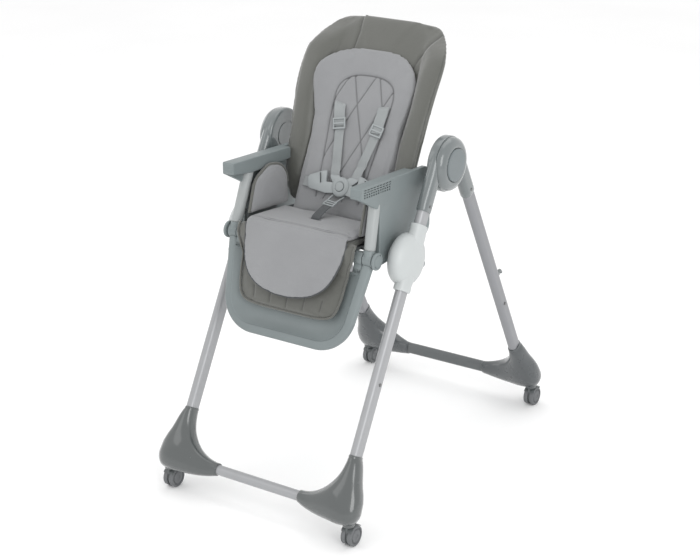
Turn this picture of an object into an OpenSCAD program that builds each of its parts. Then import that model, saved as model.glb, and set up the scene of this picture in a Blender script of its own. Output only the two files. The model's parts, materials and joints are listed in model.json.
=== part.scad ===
// A folding high chair for a baby. Two pairs of legs swing on a hub at each side, a seat slides
// up and down the front legs, its back reclines and its footrest tilts.
// +Y is behind the child, +X is on the child's left, and the hub axis lies over y = 0.

/* [Frame] */
// Height of the hub axis above the floor
hub_z = 776; // [740:1:810]
// Lean of each leg from the vertical, in degrees
leg_angle = 29.1; // [28:0.1:30]
// Distance of a leg's centre line from the hub axis
leg_offset = 44; // [42:1:46]
// Distance of the legs from the middle of the chair
leg_x = 232; // [231:1:233]
// Thickness of a leg tube across the chair
leg_w = 22; // [20:1:22]
// Depth of a leg tube in the side view
leg_d = 36; // [34:1:36]
// Distance down the leg from the hub to the heel of its foot
leg_length = 814; // [800:1:830]
// Wall of the leg tubes and the crossbars
tube_wall = 2; // [1.5:0.1:3]
// Diameter of the front crossbar
front_bar_d = 24; // [20:1:26]
// Height of the oval rear crossbar
rear_bar_h = 30; // [26:1:32]

/* [Hub] */
// Radius of the front leg's hub head
front_head_r = 65; // [62:1:68]
// Radius of the rear leg's hub head
rear_head_r = 56; // [52:1:57]
// Radius of the fold button in the hub
hub_button_r = 38; // [34:1:39]
// Radius of the hub pin
hub_pin_r = 8; // [6:0.5:10]

/* [Feet and casters] */
// Radius of a foot's rounded heel
heel_r = 34; // [30:1:36]
// Distance of the heel from the middle of the chair
heel_x = 250; // [246:1:252]
// Radius of the concave curve between a foot's leg and its arm
elbow_r = 85; // [70:1:90]
// Distance of a foot's inner end from the middle of the chair
foot_inner_x = 117; // [110:1:125]
// Diameter of a caster wheel
wheel_d = 48; // [46:1:48]
// Width of one of the two wheels of a caster
wheel_w = 11; // [10:0.5:12]
// Distance of a caster's pivot from the middle of the chair, along Y
caster_y = 440; // [436:1:442]
// Distance of the wheel's axle behind the caster's pivot
caster_trail = 11; // [8:1:14]

/* [Seat] */
// Distance down the leg from the hub to the middle of the slider
slider_at = 235; // [230:1:240]
// Radius of the slider's round housing
slider_r = 53; // [48:1:54]
// Distance of the side panel's outer face from the middle of the chair
panel_x = 189; // [187:1:189]
// Height of the seat's front edge above the floor
seat_z = 659; // [657:1:660]
// Half of the seat cushion's width
seat_half = 141; // [130:1:143]
// Slope of the seat towards the back, in degrees
seat_slope = 5; // [4:0.5:6]
// Height of the back's hinge above the floor
back_hinge_z = 612; // [611:1:613]
// Lean of the back from the vertical, in degrees
back_lean = 20; // [19:0.5:21]
// Length of the back from its hinge to its top edge
back_length = 487; // [470:1:490]

/* [Footrest] */
// Height of the footrest's hinge above the floor
knee_z = 608; // [607:1:609]
// Slope of the footrest from the vertical, in degrees
foot_slope = 20.6; // [20:0.1:21]
// Length of the footrest from its hinge to its lower edge
foot_length = 224; // [215:1:230]
// Width of the footrest's raised rim
rim_w = 27; // [24:1:28]

/* [Hidden] */
$fn = 64;
fit = 0.05;             // radial clearance of a pin that turns in its bore
play = 0.5;             // gap between parts that slide or pass each other
frame_grey = [0.66, 0.67, 0.68];
plastic_grey = [0.45, 0.48, 0.48];
panel_grey = [0.52, 0.55, 0.56];
pale_grey = [0.80, 0.81, 0.82];
leather_grey = [0.44, 0.44, 0.42];
fabric_grey = [0.60, 0.60, 0.61];
strap_grey = [0.58, 0.59, 0.60];
steel_grey = [0.70, 0.70, 0.70];

front_sleeve_end = 126; // distance from the hub to the end of the front sleeve
rear_sleeve_end = 136;
tube_top = 68;          // distance from the hub to the top of a leg tube
socket_top = 698;       // distance from the hub to the top of a foot's socket
sleeve_w = leg_w + 6;
sleeve_d = leg_d + 6;
inner_head = [216, 238];                 // span of the front hub head across the chair
outer_head = [238.6, 258];               // span of the rear hub head across the chair
button_floor = 250;                      // floor of the fold button's recess
button_travel = 3.5;
arm_drop = 817;                          // crossbar's distance down the leg frame
arm_y = -38;                             // crossbar's place across the leg frame
peg_at = 440;            // distance from the hub to a tray peg
rivet_at = 528;          // distance from the hub to the rivet on a leg
peg_r = 5;
bar_y = 430;
front_bar_z = 80;
rear_bar_z = 82;
bar_half = 148;
caster_x = 254;
stem_r = 5;
body_w = 5;                              // thickness of a caster's middle plate
axle_r = 3;
lever_y = 24;                            // brake lever's hinge, from the wheel's axle
lever_z = 14;
slider_span = [205, 252];
height_button_r = 11;
back_hinge_y = -60;
knee_y = -250;
knee_x = 185;
knuckle_r = 16.5;
pin_r = 6;
rod_r = 5;
foot_taper = 0.139;      // how fast the footrest narrows towards its lower end
seat_front_y = -270;
seat_depth = 154;
insert_lean = 27;                        // slope of the back insert's front face
insert_base = [-132, 620];

// ---- small functions ---------------------------------------------------------------------
function unit(v) = v / norm(v);
function spin(v, a) = [v.x * cos(a) - v.y * sin(a), v.x * sin(a) + v.y * cos(a)];

// Points of an arc of radius r that rounds the corner at b, between its neighbours a and c.
function corner(a, b, c, r, n) =
    let (u = unit(a - b), v = unit(c - b), half = acos(u * v) / 2,
         centre = b + unit(u + v) * r / sin(half),
         from = b + u * r / tan(half) - centre,
         to = b + v * r / tan(half) - centre,
         turn = sign(from.x * to.y - from.y * to.x) * (180 - 2 * half))
    [for (i = [0:n]) centre + spin(from, turn * i / n)];

// A closed outline from a list of [x, y, radius].
function rounded(p, n = 6) = let (m = len(p))
    [for (i = [0:m - 1]) let (q = [p[i].x, p[i].y], r = p[i][2])
        each (r == 0 ? [q]
            : corner([p[(i + m - 1) % m].x, p[(i + m - 1) % m].y], q,
                     [p[(i + 1) % m].x, p[(i + 1) % m].y], r, n))];

// The left half of an outline, closed by its own mirror image.
function both_halves(h) = concat(h, [for (i = [len(h) - 1:-1:0]) [-h[i].x, h[i].y, h[i][2]]]);

// ---- small modules -----------------------------------------------------------------------
module on_side(side) {
    if (side > 0) children();
    else mirror([1, 0, 0]) children();
}

// The frame of a front leg: the hub at its origin and the leg running down its -Z.
module front_frame() translate([0, 0, hub_z]) rotate([-leg_angle, 0, 0]) children();
module rear_frame() mirror([0, 1, 0]) front_frame() children();
module seat_frame() translate([0, seat_front_y, seat_z]) rotate([-seat_slope, 0, 0]) children();
module back_frame() {
    translate([0, back_hinge_y, back_hinge_z]) rotate([-back_lean, 0, 0]) children();
}
module foot_frame() translate([0, knee_y, knee_z]) rotate([-foot_slope, 0, 0]) children();
module insert_frame() {
    translate([0, insert_base.x, insert_base.y]) rotate([-insert_lean, 0, 0]) children();
}

// A cylinder along X, from x0 to x1.
module x_rod(r, x0, x1, y = 0, z = 0) {
    translate([x0, y, z]) rotate([0, 90, 0]) cylinder(r = r, h = x1 - x0);
}

// A cone between two points.
module cone(from, to, r1, r2) {
    run = to - from;
    translate(from) rotate([0, acos(run.z / norm(run)), atan2(run.y, run.x)])
        cylinder(r1 = r1, r2 = r2, h = norm(run));
}

// An outline in Y and Z, extruded along X from x0 to x1.
module x_plate(x0, x1) translate([x0, 0, 0]) rotate([90, 0, 90]) linear_extrude(x1 - x0) children();

// An outline in X and Z, extruded along Y from y0 to y1.
module y_plate(y0, y1) translate([0, y1, 0]) rotate([90, 0, 0]) linear_extrude(y1 - y0) children();

// An oval of width w and depth d, with round ends.
module oval(w, d) {
    square([w, d - w], center = true);
    for (s = [-1, 1]) translate([0, s * (d - w) / 2]) circle(d = w);
}

// An oval bar down the leg, between two distances from the hub.
module leg_bar(w, d, from, to) {
    translate([leg_x, -leg_offset, -to]) linear_extrude(to - from) oval(w, d);
}

module leg_tube() {
    difference() {
        leg_bar(leg_w, leg_d, tube_top, socket_top + 60);
        leg_bar(leg_w - 2 * tube_wall, leg_d - 2 * tube_wall, tube_top - 1, socket_top + 61);
    }
}

// ---- frame -------------------------------------------------------------------------------
module front_leg(side) {
    color(frame_grey) on_side(side) front_frame() leg_tube();
}

module rear_leg(side) {
    color(frame_grey) on_side(side) rear_frame() leg_tube();
}

module front_hub(side) {
    color(plastic_grey) on_side(side) front_frame() difference() {
        union() {
            x_rod(front_head_r, inner_head[0], inner_head[1]);
            leg_bar(sleeve_w, sleeve_d, 10, front_sleeve_end);
        }
        x_rod(rear_head_r + 1, inner_head[1], 262);
        leg_bar(leg_w, leg_d, tube_top, front_sleeve_end + 1);
        x_rod(hub_pin_r, 200, 262);
    }
}

module rear_hub(side) {
    color(plastic_grey) on_side(side) rear_frame() difference() {
        union() {
            x_rod(rear_head_r, outer_head[0], outer_head[1]);
            leg_bar(sleeve_w, sleeve_d, 10, rear_sleeve_end);
        }
        x_rod(front_head_r + 1, 200, outer_head[0]);
        leg_bar(leg_w, leg_d, tube_top, rear_sleeve_end + 1);
        x_rod(hub_button_r + 4, button_floor, 262);
        x_rod(hub_pin_r + fit, 200, 262);
    }
}

module hub_pins() {
    color(steel_grey) for (side = [-1, 1]) on_side(side) front_frame() difference() {
        x_rod(hub_pin_r, inner_head[0] + 1, button_floor - 1);
        x_rod(4 + fit, inner_head[0] + 4, button_floor);
    }
}

module fold_button(side) {
    color(panel_grey) on_side(side) rear_frame() {
        x_rod(hub_button_r, button_floor + button_travel + 0.5, 261);
        x_rod(hub_button_r - 3, 260.9, 263);
        x_rod(4, inner_head[1] + button_travel + 1, 254);
    }
}

// A foot: a socket for the leg, a round heel over the caster, and an arm to the crossbar.
module foot_body(end_r) {
    heel = [heel_x, -leg_offset - 3, -leg_length];
    leg_bar(sleeve_w, sleeve_d, socket_top, socket_top + 64);
    cone([leg_x, -leg_offset, -socket_top - 50], heel, sleeve_d / 2 - 0.7, heel_r - 1.5);
    translate(heel) sphere(r = heel_r);
    cone(heel, [foot_inner_x, arm_y, -arm_drop], heel_r - 2.5, end_r);
    elbow(end_r);
}

// The web that fills the corner between a foot's leg and its arm, with a concave edge.
module elbow(end_r) {
    inner_x = leg_x - sleeve_w / 2 + 2;
    low = -arm_drop + end_r - 2;
    translate([0, -leg_offset + 14, 0]) rotate([90, 0, 0]) linear_extrude(26) difference() {
        translate([inner_x - elbow_r, low]) square([elbow_r + 14, elbow_r]);
        translate([inner_x - elbow_r, low + elbow_r]) circle(r = elbow_r);
    }
}

module caster_seat() {
    translate([caster_x, -caster_y, 52]) cylinder(r = 14, h = 30);
}

module caster_bore() {
    translate([caster_x, -caster_y, 40]) cylinder(r = stem_r + fit, h = 42);
}

module front_foot(side) {
    color(plastic_grey) on_side(side) difference() {
        union() {
            front_frame() foot_body(front_bar_d / 2 + 4);
            caster_seat();
        }
        front_frame() leg_bar(leg_w, leg_d, socket_top - 1, socket_top + 60);
        x_rod(front_bar_d / 2, 0, bar_half, -bar_y, front_bar_z);
        caster_bore();
    }
}

module rear_foot(side) {
    color(plastic_grey) on_side(side) mirror([0, 1, 0]) difference() {
        union() {
            front_frame() foot_body(rear_bar_h / 2 + 3);
            caster_seat();
        }
        front_frame() leg_bar(leg_w, leg_d, socket_top - 1, socket_top + 60);
        translate([0, -bar_y, rear_bar_z]) x_plate(0, bar_half) oval(leg_w, rear_bar_h);
        caster_bore();
    }
}

module front_crossbar() {
    color(frame_grey) difference() {
        x_rod(front_bar_d / 2, -bar_half, bar_half, -bar_y, front_bar_z);
        x_rod(front_bar_d / 2 - tube_wall, -bar_half - 1, bar_half + 1, -bar_y, front_bar_z);
    }
}

module rear_crossbar() {
    color(frame_grey) translate([0, bar_y, rear_bar_z]) difference() {
        x_plate(-bar_half, bar_half) oval(leg_w, rear_bar_h);
        x_plate(-bar_half - 1, bar_half + 1) oval(leg_w - 2 * tube_wall, rear_bar_h - 2 * tube_wall);
    }
}

// Screw heads on the outer face of a sleeve.
module sleeve_screw(at) {
    x_rod(3.5, leg_x + sleeve_w / 2, leg_x + sleeve_w / 2 + 1, -leg_offset, -at);
}

module front_screws() {
    color(steel_grey) for (side = [-1, 1]) on_side(side) front_frame() {
        sleeve_screw(front_sleeve_end - 14);
        x_rod(4, leg_x + leg_w / 2, leg_x + leg_w / 2 + 1.8, -leg_offset, -rivet_at);
    }
}

module rear_screws() {
    color(steel_grey) for (side = [-1, 1]) on_side(side) rear_frame() {
        sleeve_screw(rear_sleeve_end - 14);
        x_rod(4, leg_x + leg_w / 2, leg_x + leg_w / 2 + 1.8, -leg_offset, -rivet_at);
    }
}

// Pegs on the back of the rear legs, for hanging up a tray.
module tray_pegs() {
    color(plastic_grey) for (side = [-1, 1]) on_side(side) rear_frame() difference() {
        translate([leg_x, -leg_offset - leg_d / 2 + 4, -peg_at]) rotate([90, 0, 0]) {
            cylinder(r = 7, h = 7.5);
            cylinder(r = peg_r, h = 21.4);
            translate([0, 0, 21.4]) cylinder(r1 = peg_r, r2 = peg_r - 1, h = 1);
        }
        leg_bar(leg_w, leg_d, peg_at - 20, peg_at + 20);
    }
}

// ---- casters -----------------------------------------------------------------------------
// end is -1 at the front and 1 at the back; the wheels trail behind the pivot at both ends.
module caster_body(side, end) {
    wheel_y = end * caster_y + caster_trail;
    hood_r = wheel_d / 2 + 2.2;
    color(plastic_grey) on_side(side) {
        translate([caster_x, end * caster_y, 48.3]) cylinder(r = stem_r, h = 31.7);
        translate([caster_x, end * caster_y, 49.3]) cylinder(r = 10, h = 2.2);
        difference() {
            union() {
                x_rod(20, caster_x - body_w / 2, caster_x + body_w / 2, wheel_y, wheel_d / 2);
                translate([caster_x - body_w / 2, end * caster_y - 8, 30]) cube([body_w, 18, 19.5]);
                if (end > 0) brake_ear(wheel_y);
                intersection() {
                    x_rod(hood_r, caster_x - 13.5, caster_x + 13.5, wheel_y, wheel_d / 2);
                    translate([caster_x - 20, wheel_y - 19, wheel_d / 2 + 15]) cube([40, 35, 20]);
                }
            }
            for (s = [-1, 1]) on_wheel_side(s) x_rod(wheel_d / 2 + 0.8, 2.5, 20, wheel_y, wheel_d / 2);
            x_rod(axle_r + fit, caster_x - 20, caster_x + 20, wheel_y, wheel_d / 2);
            if (end > 0)
                x_rod(1.5 + fit, caster_x - 9, caster_x + 9, wheel_y + lever_y, wheel_d / 2 + lever_z);
        }
    }
}

// Places children beside the caster's middle plate, on its outer or inner side.
module on_wheel_side(s) {
    translate([caster_x, 0, 0]) on_side(s) children();
}

module brake_ear(wheel_y) {
    translate([0, wheel_y, wheel_d / 2]) x_plate(caster_x - body_w / 2, caster_x + body_w / 2)
        polygon([[0, 19], [0, 2], [lever_y, lever_z - 4],
                 [lever_y + 3.5, lever_z + 1], [lever_y, lever_z + 4]]);
}

module caster_wheels(side, end) {
    wheel_y = end * caster_y + caster_trail;
    color(panel_grey) on_side(side) {
        x_rod(axle_r, caster_x - 4, caster_x + 4, wheel_y, wheel_d / 2);
        for (s = [-1, 1]) on_wheel_side(s) difference() {
            x_rod(wheel_d / 2, 3, 3 + wheel_w, wheel_y, wheel_d / 2);
            x_rod(wheel_d / 2 - 7, 1 + wheel_w, 20, wheel_y, wheel_d / 2);
        }
    }
}

module brake_lever(side) {
    y = caster_y + caster_trail + lever_y;
    z = wheel_d / 2 + lever_z;
    color(pale_grey) on_side(side) {
        x_rod(1.5, caster_x - 7, caster_x + 7, y, z);
        for (s = [-1, 1]) on_wheel_side(s) {
            x_rod(3, 3, 7, y, z);
            translate([3, y, z]) cube([4, 7, 3]);
        }
        translate([caster_x - 7, y + 4.2, z]) cube([14, 3, 3]);
    }
}

// ---- seat carriage -----------------------------------------------------------------------
module slider(side) {
    color(pale_grey) on_side(side) front_frame() difference() {
        union() {
            x_rod(slider_r, slider_span[0] + 6, slider_span[1] - 4, -leg_offset, -slider_at);
            x_rod(slider_r - 4, slider_span[0], slider_span[1], -leg_offset, -slider_at);
            leg_bar(leg_w + 12, leg_d + 14, slider_at - 77, slider_at - 40);
            leg_bar(leg_w + 12, leg_d + 12, slider_at + 40, slider_at + 75);
            leg_bar(leg_w + 16, leg_d + 38, slider_at - 64, slider_at + 58);
            x_rod(40, panel_x, slider_span[0] + 1, -leg_offset, -slider_at);
        }
        leg_bar(leg_w + 2 * play, leg_d + 2 * play, slider_at - 100, slider_at + 100);
        height_button_rod(height_button_r + fit, -4, 20);
    }
}

// A cylinder square to the leg, in the back of the slider.
module height_button_rod(r, from, to) {
    translate([(slider_span[0] + slider_span[1]) / 2, from, -slider_at]) rotate([-90, 0, 0])
        cylinder(r = r, h = to - from);
}

module height_button(side) {
    color(panel_grey) on_side(side) front_frame() {
        height_button_rod(height_button_r, -0.5, 10);
        height_button_rod(height_button_r - 1.5, 9.9, 11);
    }
}

// The side panel with its armrest, seen from the side as [y, z, corner radius].
panel_outline = [[-289, 783, 3], [-12, 767, 24], [5, 748, 20], [5, 604, 30], [-40, 592, 60],
                 [-208, 582, 14], [-215, 596, 10], [-215, 714, 8], [-289, 755, 4]];
armrest_outline = [[-289, 783, 3], [-62, 769.9, 6], [-62, 740, 6], [-215, 744, 0], [-289, 755, 4]];

module knee_tube_line(r, from = 0, to = 118) {
    top = [-219, 722];
    low = [-253, 612];
    lean = atan2(low.x - top.x, top.y - low.y);
    translate([knee_x, top.x, top.y]) rotate([180 + lean, 0, 0]) translate([0, 0, from])
        cylinder(r = r, h = to - from);
}

module side_panel(side) {
    color(panel_grey) on_side(side) difference() {
        union() {
            x_plate(panel_x - 12, panel_x) polygon(rounded(panel_outline));
            x_plate(panel_x - 31, panel_x) polygon(rounded(armrest_outline));
        }
        knee_tube_line(12, -1);
        back_sweep();
    }
}

// Room inside the armrest for the wing of the back, which swings about the back's hinge.
module back_sweep() {
    back_frame() translate([0, -43, 0]) cube([panel_x - 12, 120, 400]);
}

module knee_tube(side) {
    color(pale_grey) on_side(side) difference() {
        union() {
            knee_tube_line(12);
            x_rod(knuckle_r, 174, 197, knee_y, knee_z);
        }
        x_rod(pin_r, 170, 199, knee_y, knee_z);
    }
}

module footrest_pins() {
    color(steel_grey) for (side = [-1, 1]) on_side(side) difference() {
        x_rod(pin_r, 152, 196, knee_y, knee_z);
        x_rod(3 + fit, 180, 197, knee_y, knee_z);
    }
}

module footrest_button(side) {
    color(panel_grey) on_side(side) {
        x_rod(20, 201, 206, knee_y, knee_z);
        x_rod(17, 205.9, 208, knee_y, knee_z);
        x_rod(3, 186, 202, knee_y, knee_z);
    }
}

// The pan under the seat, joined to both side panels, with ears for the back's rod.
module seat_base() {
    color(panel_grey) difference() {
        union() {
            seat_frame() translate([-148, 8, -40]) cube([296, 150, 11]);
            seat_frame() translate([-166, 46, -40]) cube([332, 112, 11]);
            for (side = [-1, 1]) on_side(side) {
                seat_frame() translate([165, 46, -40]) cube([panel_x - 12 - 165, 112, 42]);
                x_plate(145.6, 157)
                    polygon([[-128, 608], [-128, 632], [-80, 627], [-60, 626], [-46, 612], [-60, 599]]);
            }
        }
        for (side = [-1, 1]) on_side(side) knee_tube_line(12.5);
        x_rod(rod_r, -160, 160, back_hinge_y, back_hinge_z);
    }
}

module back_rod() {
    color(steel_grey) x_rod(rod_r, -159, 159, back_hinge_y, back_hinge_z);
}

// A soft slab of the seat, between two depths under its surface.
module seat_slab(half, top, bottom, front) {
    seat_frame() translate([0, 0, bottom]) linear_extrude(top - bottom)
        polygon(rounded(both_halves([[half, front, 14], [half, seat_depth, 6]])));
}

module seat_pad() {
    color(leather_grey) seat_slab(seat_half + 4, -14.6, -28.5, 2);
}

module seat_insert() {
    color(fabric_grey) difference() {
        seat_slab(seat_half, 0, -14, 0);
        seat_frame() translate([-14, 76, -20]) cube([28, 7, 30]);
    }
}

// The raised pads beside the child's hips.
module hip_bolsters() {
    color(leather_grey) for (side = [-1, 1]) on_side(side) difference() {
        x_plate(147, 164) polygon(rounded([[-238, 664, 0], [-214, 722, 40], [-150, 752, 30],
            [-62, 740, 8], [-96, 648, 0]]));
        back_sweep();
        translate([157.5, -300, 739.5]) cube([20, 300, 60]);
        seat_frame() translate([0, -10, -60]) cube([200, 400, 60.5]);
    }
}

module crotch_strap() {
    color(strap_grey) insert_frame() {
        translate([buckle_at.x - 12, -12, 48]) cube([24, 2, 19]);
    }
    color(strap_grey) seat_frame() translate([-11, 79, 0.6]) cube([22, 47, 2]);
    color(strap_grey) seat_frame() translate([-11, 79, -12]) cube([22, 2, 13]);
}

// ---- footrest ----------------------------------------------------------------------------
// Half of the U outline, inset from the footrest's outer edge.
function foot_half(inset, top) = [[199 - inset + foot_taper * top, top, 0],
    [199 - inset - foot_taper * (foot_length - inset), -foot_length + inset, 91 - inset]];

module footrest_rim() {
    color(panel_grey) foot_frame() difference() {
        union() {
            y_plate(-11, 11) difference() {
                polygon(rounded(both_halves(foot_half(0, -knuckle_r - 4)), 10));
                polygon(rounded(both_halves(foot_half(rim_w, 0)), 10));
            }
            for (side = [-1, 1]) on_side(side) {
                x_rod(knuckle_r, 151, 172.5);
                translate([151, -9, -knuckle_r - 18]) cube([43, 18, 14]);
                translate([151, -9, -knuckle_r - 18]) cube([21.5, 18, 24]);
            }
        }
        x_rod(pin_r + fit, -199, 199);
    }
}

module footrest_panel() {
    color(panel_grey) foot_frame() y_plate(3, 8)
        polygon(rounded(both_halves(foot_half(rim_w + 0.02, -knuckle_r - 19)), 10));
}

module calf_slab(half, top, length, taper, r, y0, y1) {
    foot_frame() y_plate(y0, y1) polygon(rounded(both_halves(
        [[half, top, 12], [half - taper * (length + top), -length, r]]), 8));
}

module calf_pad() {
    color(leather_grey) calf_slab(148, -22, 170, 0.1, 62, -16, 2);
}

module calf_insert() {
    color(fabric_grey) calf_slab(131, -22, 118, 0.24, 52, -41, -16.6);
}

// ---- back --------------------------------------------------------------------------------
module back_shell() {
    color(panel_grey) back_frame() difference() {
        union() {
            y_plate(26.5, 36) polygon(rounded(both_halves([[132, 34, 12], [150, back_length - 20, 60]])));
            for (side = [-1, 1]) on_side(side) {
                x_rod(12, 118, 141.5);
                x_plate(118, 141.5)
                    polygon([[-8, 0], [6, -9], [36, 30], [36, 70], [26.5, 60], [26.5, 22], [9, 14]]);
                translate([0, 36, 330]) x_plate(28, 34) polygon([[-1, -20], [14, -8], [14, 8], [-1, 20]]);
            }
        }
        x_rod(rod_r + fit, -150, 150);
        x_rod(2 + fit, -40, 40, 44, 330);
    }
}

// The padded back with a wing at each side, cut to its outline.
module back_pad() {
    color(leather_grey) back_frame() intersection() {
        y_plate(-60, 30) polygon(rounded(both_halves(
            [[172, 24, 20], [174, 180, 40], [184, 385, 60], [140, back_length, 40]])));
        translate([0, 0, 10]) linear_extrude(back_length) polygon(both_wings());
    }
}

function both_wings() = let (h = [[130, -2], [146, -41], [168, -41], [186, -34], [163, 14], [144, 26]])
    concat(h, [for (i = [len(h) - 1:-1:0]) [-h[i].x, h[i].y]]);

module back_insert() {
    color(fabric_grey) difference() {
        intersection() {
            back_frame() x_plate(-140, 140)
                polygon([[-67, 14], [-2.6, 36], [-2.6, 422], [-16, 416]]);
            insert_frame() y_plate(-10, 120)
                polygon(rounded(both_halves([[126, 10, 6], [122, 300, 60], [112, 433, 90]]), 8));
        }
        for (side = [-1, 1]) on_side(side) insert_frame()
            translate([49, -10, 286]) cube([28, 16, 5]);
    }
}

module recline_lever() {
    color(pale_grey) back_frame() translate([0, 44, 330]) {
        x_rod(2, -34, 34);
        x_rod(5, -27, 27);
        translate([-26, 3, -16]) cube([52, 5, 18]);
        translate([-40, 3, -58]) cube([80, 5, 44]);
    }
}

// ---- harness -----------------------------------------------------------------------------
buckle_at = [9, 92];     // the buckle's place on the insert, across it and up it
slot_at = [63, 290];     // a shoulder strap's slot
// Lower end of a shoulder strap, above the buckle.
function strap_low(side) = buckle_at + [15 + (side - 1) * buckle_at.x, 23];

// A flat strap on the face of the back insert, from one point to another.
module strap(from, to, w) {
    run = to - from;
    translate([from.x, -1, from.y]) rotate([0, -atan2(run.y, run.x), 0]) translate([0, -2, -w / 2])
        cube([norm(run), 2, w]);
}

module shoulder_straps() {
    color(strap_grey) for (side = [-1, 1]) on_side(side) insert_frame() {
        strap(strap_low(side), slot_at, 25);
    }
}

module waist_straps() {
    color(strap_grey) for (side = [-1, 1]) on_side(side) insert_frame()
        strap([24 + side * buckle_at.x, buckle_at.y + 2], [112, 108], 24);
}

module strap_adjusters() {
    color(plastic_grey) for (side = [-1, 1]) on_side(side) insert_frame() {
        low = strap_low(side);
        run = slot_at - low;
        translate([low.x, -3.2, low.y] + 0.68 * [run.x, 0, run.y]) rotate([0, -atan2(run.y, run.x), 0])
            translate([-13, -3, -17]) difference() {
                cube([26, 3, 34]);
                for (i = [0, 1]) translate([5 + 9.5 * i, -1, 4]) cube([6.5, 5, 26]);
            }
    }
}

module buckle() {
    color(pale_grey) insert_frame() difference() {
        translate([buckle_at.x, -4, buckle_at.y]) rotate([90, 0, 0]) {
            cylinder(r = 23, h = 13);
            for (side = [-1, 1]) translate([side * 54, 3, 4]) cube([80, 34, 8], center = true);
        }
        translate([buckle_at.x, -12, buckle_at.y]) rotate([90, 0, 0]) cylinder(r = 11 + fit * 4, h = 10);
    }
}

module buckle_button() {
    color(panel_grey) insert_frame()
        translate([buckle_at.x, -14.5, buckle_at.y]) rotate([90, 0, 0]) cylinder(r = 11, h = 4);
}

front_leg(1);  // front_leg_left
front_leg(-1);  // front_leg_right
front_hub(1);  // front_hub_left
front_hub(-1);  // front_hub_right
front_foot(1);  // front_foot_left
front_foot(-1);  // front_foot_right
front_crossbar();
hub_pins();
front_screws();
rear_leg(1);  // rear_leg_left
rear_leg(-1);  // rear_leg_right
rear_hub(1);  // rear_hub_left
rear_hub(-1);  // rear_hub_right
rear_foot(1);  // rear_foot_left
rear_foot(-1);  // rear_foot_right
rear_crossbar();
tray_pegs();
rear_screws();
fold_button(1);  // fold_button_left
fold_button(-1);  // fold_button_right
caster_body(1, -1);  // front_caster_left
caster_body(-1, -1);  // front_caster_right
caster_body(1, 1);  // rear_caster_left
caster_body(-1, 1);  // rear_caster_right
caster_wheels(1, -1);  // front_wheels_left
caster_wheels(-1, -1);  // front_wheels_right
caster_wheels(1, 1);  // rear_wheels_left
caster_wheels(-1, 1);  // rear_wheels_right
brake_lever(1);  // brake_lever_left
brake_lever(-1);  // brake_lever_right
slider(1);  // slider_left
slider(-1);  // slider_right
height_button(1);  // height_button_left
height_button(-1);  // height_button_right
side_panel(1);  // side_panel_left
side_panel(-1);  // side_panel_right
knee_tube(1);  // knee_tube_left
knee_tube(-1);  // knee_tube_right
seat_base();
footrest_pins();
back_rod();
footrest_button(1);  // footrest_button_left
footrest_button(-1);  // footrest_button_right
seat_pad();
seat_insert();
hip_bolsters();
crotch_strap();
footrest_rim();
footrest_panel();
calf_pad();
calf_insert();
back_shell();
back_pad();
back_insert();
recline_lever();
shoulder_straps();
waist_straps();
strap_adjusters();
buckle();
buckle_button();
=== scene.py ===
"""Looks of the folding baby high chair: shells, cushions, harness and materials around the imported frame.

Lengths inside the small shape functions are in millimetres; MM turns them into metres.
The chair faces -Y, +X is on the child's left and +Z is up.
"""
import json
import math
import bmesh
import bpy
import numpy as np
from mathutils import Matrix, Vector
from mathutils.bvhtree import BVHTree


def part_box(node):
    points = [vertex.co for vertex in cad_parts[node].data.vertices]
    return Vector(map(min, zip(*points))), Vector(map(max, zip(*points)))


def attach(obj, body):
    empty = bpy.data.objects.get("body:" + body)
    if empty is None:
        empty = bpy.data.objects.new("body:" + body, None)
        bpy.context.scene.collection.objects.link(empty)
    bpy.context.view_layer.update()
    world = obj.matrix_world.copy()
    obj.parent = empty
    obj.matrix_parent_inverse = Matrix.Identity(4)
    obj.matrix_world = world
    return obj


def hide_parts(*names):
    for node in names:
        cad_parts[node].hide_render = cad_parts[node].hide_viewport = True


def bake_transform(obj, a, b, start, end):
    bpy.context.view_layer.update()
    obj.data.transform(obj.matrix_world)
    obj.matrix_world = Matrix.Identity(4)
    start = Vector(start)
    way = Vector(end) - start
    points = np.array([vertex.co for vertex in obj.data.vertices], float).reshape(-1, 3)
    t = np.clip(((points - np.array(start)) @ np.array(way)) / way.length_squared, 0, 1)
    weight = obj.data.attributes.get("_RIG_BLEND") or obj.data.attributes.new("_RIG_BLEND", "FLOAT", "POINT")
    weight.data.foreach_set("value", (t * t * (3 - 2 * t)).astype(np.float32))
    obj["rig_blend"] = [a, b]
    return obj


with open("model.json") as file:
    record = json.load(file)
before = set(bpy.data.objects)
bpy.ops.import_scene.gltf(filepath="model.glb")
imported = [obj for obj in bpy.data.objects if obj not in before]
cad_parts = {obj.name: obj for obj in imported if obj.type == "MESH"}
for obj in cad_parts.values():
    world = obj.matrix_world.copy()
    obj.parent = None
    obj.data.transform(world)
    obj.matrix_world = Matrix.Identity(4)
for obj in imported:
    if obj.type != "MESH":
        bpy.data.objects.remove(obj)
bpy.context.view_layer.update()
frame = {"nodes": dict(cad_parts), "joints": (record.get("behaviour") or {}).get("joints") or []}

MM = 0.001
IDENTITY = Matrix.Identity(4)
node = frame["nodes"]
joint = {j["name"]: j for j in frame["joints"]}

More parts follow.
